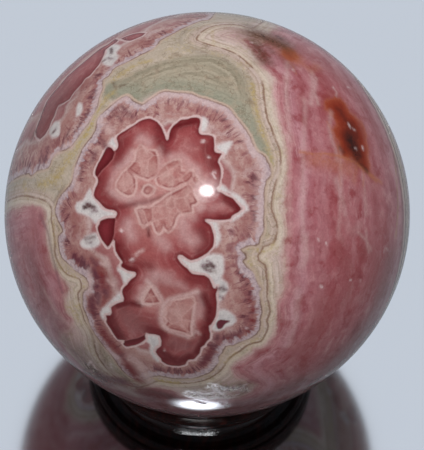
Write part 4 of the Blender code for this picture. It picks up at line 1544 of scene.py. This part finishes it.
def make_world():
    """An even surround: pale to the camera, and dimmer as light on the stone."""
    world = bpy.data.worlds.new("Pale surround")
    world.use_nodes = True
    shading = Shading(world.node_tree)
    background = world.node_tree.nodes["Background"]
    path = shading.node("ShaderNodeLightPath").outputs
    tone = shading.mix(path["Is Camera Ray"], (0.13, 0.13, 0.135, 1.0), colour(190, 198, 211))
    shading.plug(background.inputs["Color"], tone)
    bpy.context.scene.world = world


def add_lamp(name, target, elevation, azimuth, distance, size, brightness, in_reflections):
    """A rectangular lamp of some brightness that faces the target from a distance."""
    data = bpy.data.lights.new(name, "AREA")
    data.shape = "RECTANGLE"
    data.size = size[0]
    data.size_y = size[1]
    data.energy = brightness * math.pi * size[0] * size[1]
    lamp = bpy.data.objects.new(name, data)
    bpy.context.scene.collection.objects.link(lamp)
    level = math.cos(math.radians(elevation))
    rise = math.sin(math.radians(elevation))
    turn = math.radians(azimuth)
    towards = Vector((level * math.sin(turn), -level * math.cos(turn), rise))
    lamp.location = target + distance * towards
    lamp.rotation_euler = towards.to_track_quat("Z", "Y").to_euler()
    lamp.visible_glossy = in_reflections
    return lamp


def light_the_scene(centre, floor):
    """A small bright lamp over the camera with softer glows around it, soft lamps from the front, the left and behind,
    one for the floor, and a glint on the stand's bead.
    """
    make_world()
    small = add_lamp("small_lamp", centre, 62.5, -1.4, 0.40, (0.036, 0.024), 90.0, True)
    glow = add_lamp("glow_around_small_lamp", centre, 62.5, -1.4, 0.41, (0.058, 0.048), 7.0, True)
    halo = add_lamp("wide_glow_around_small_lamp", centre, 62.5, -1.4, 0.42, (0.100, 0.090), 1.6, True)
    for lamp in (small, glow, halo):
        lamp.data.shape = "ELLIPSE"
    add_lamp("soft_front_lamp", centre, 73.0, -2.0, 0.70, (0.30, 0.30), 9.9, False)
    add_lamp("soft_left_lamp", centre, 6.0, -100.0, 0.90, (0.50, 0.50), 1.4, False)
    add_lamp("soft_back_lamp", centre, 14.0, 180.0, 0.90, (0.40, 0.40), 4.2, False)
    ceiling = add_lamp("floor_lamp", Vector((0.0, 0.0, 0.0)), 90.0, 0.0, 2.5, (120.0, 120.0), 0.62, True)
    ceiling.data.color = (0.93, 0.99, 1.09)
    lit = bpy.data.collections.new("Lit by the floor's lamp")
    lit.objects.link(floor)
    ceiling.light_linking.receiver_collection = lit
    bead = add_lamp("glint_on_the_bead", Vector((0.0, -0.0198, 0.008)), 50.0, 0.0, 0.0157, (0.018, 0.0007), 30.0, True)
    bead.data.shape = "ELLIPSE"
    bead.visible_diffuse = False
    bead.visible_camera = False


def make_camera(centre, radius):
    """The camera of the photograph."""
    right, up, back = camera_axes()
    distance = CAMERA_DISTANCE_IN_RADII * radius
    data = bpy.data.cameras.new("camera")
    data.lens = LENS_MM
    data.sensor_width = SENSOR_MM
    data.clip_start = 0.01
    camera = bpy.data.objects.new("camera", data)
    bpy.context.scene.collection.objects.link(camera)
    placed = Matrix((right, up, back)).transposed().to_4x4()
    placed.translation = centre + distance * (back - SPHERE_ASIDE * right - SPHERE_UP * up)
    camera.matrix_world = placed
    bpy.context.scene.camera = camera


def main():
    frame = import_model()
    low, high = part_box("rhodochrosite_sphere")
    centre = (low + high) / 2
    radius = (high.z - low.z) / 2
    make_camera(centre, radius)
    bpy.context.scene.view_settings.view_transform = "Standard"

    marks = fine_scratches()
    stone = make_stone(centre, radius)
    stone.data.materials.append(stone_material(marks, radius))
    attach(stone, "root")
    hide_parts("rhodochrosite_sphere")

    stand = frame["nodes"]["ring_stand"]
    stand.data.materials.clear()
    stand.data.materials.append(wood_material(marks))
    light_the_scene(centre, make_floor())


main()
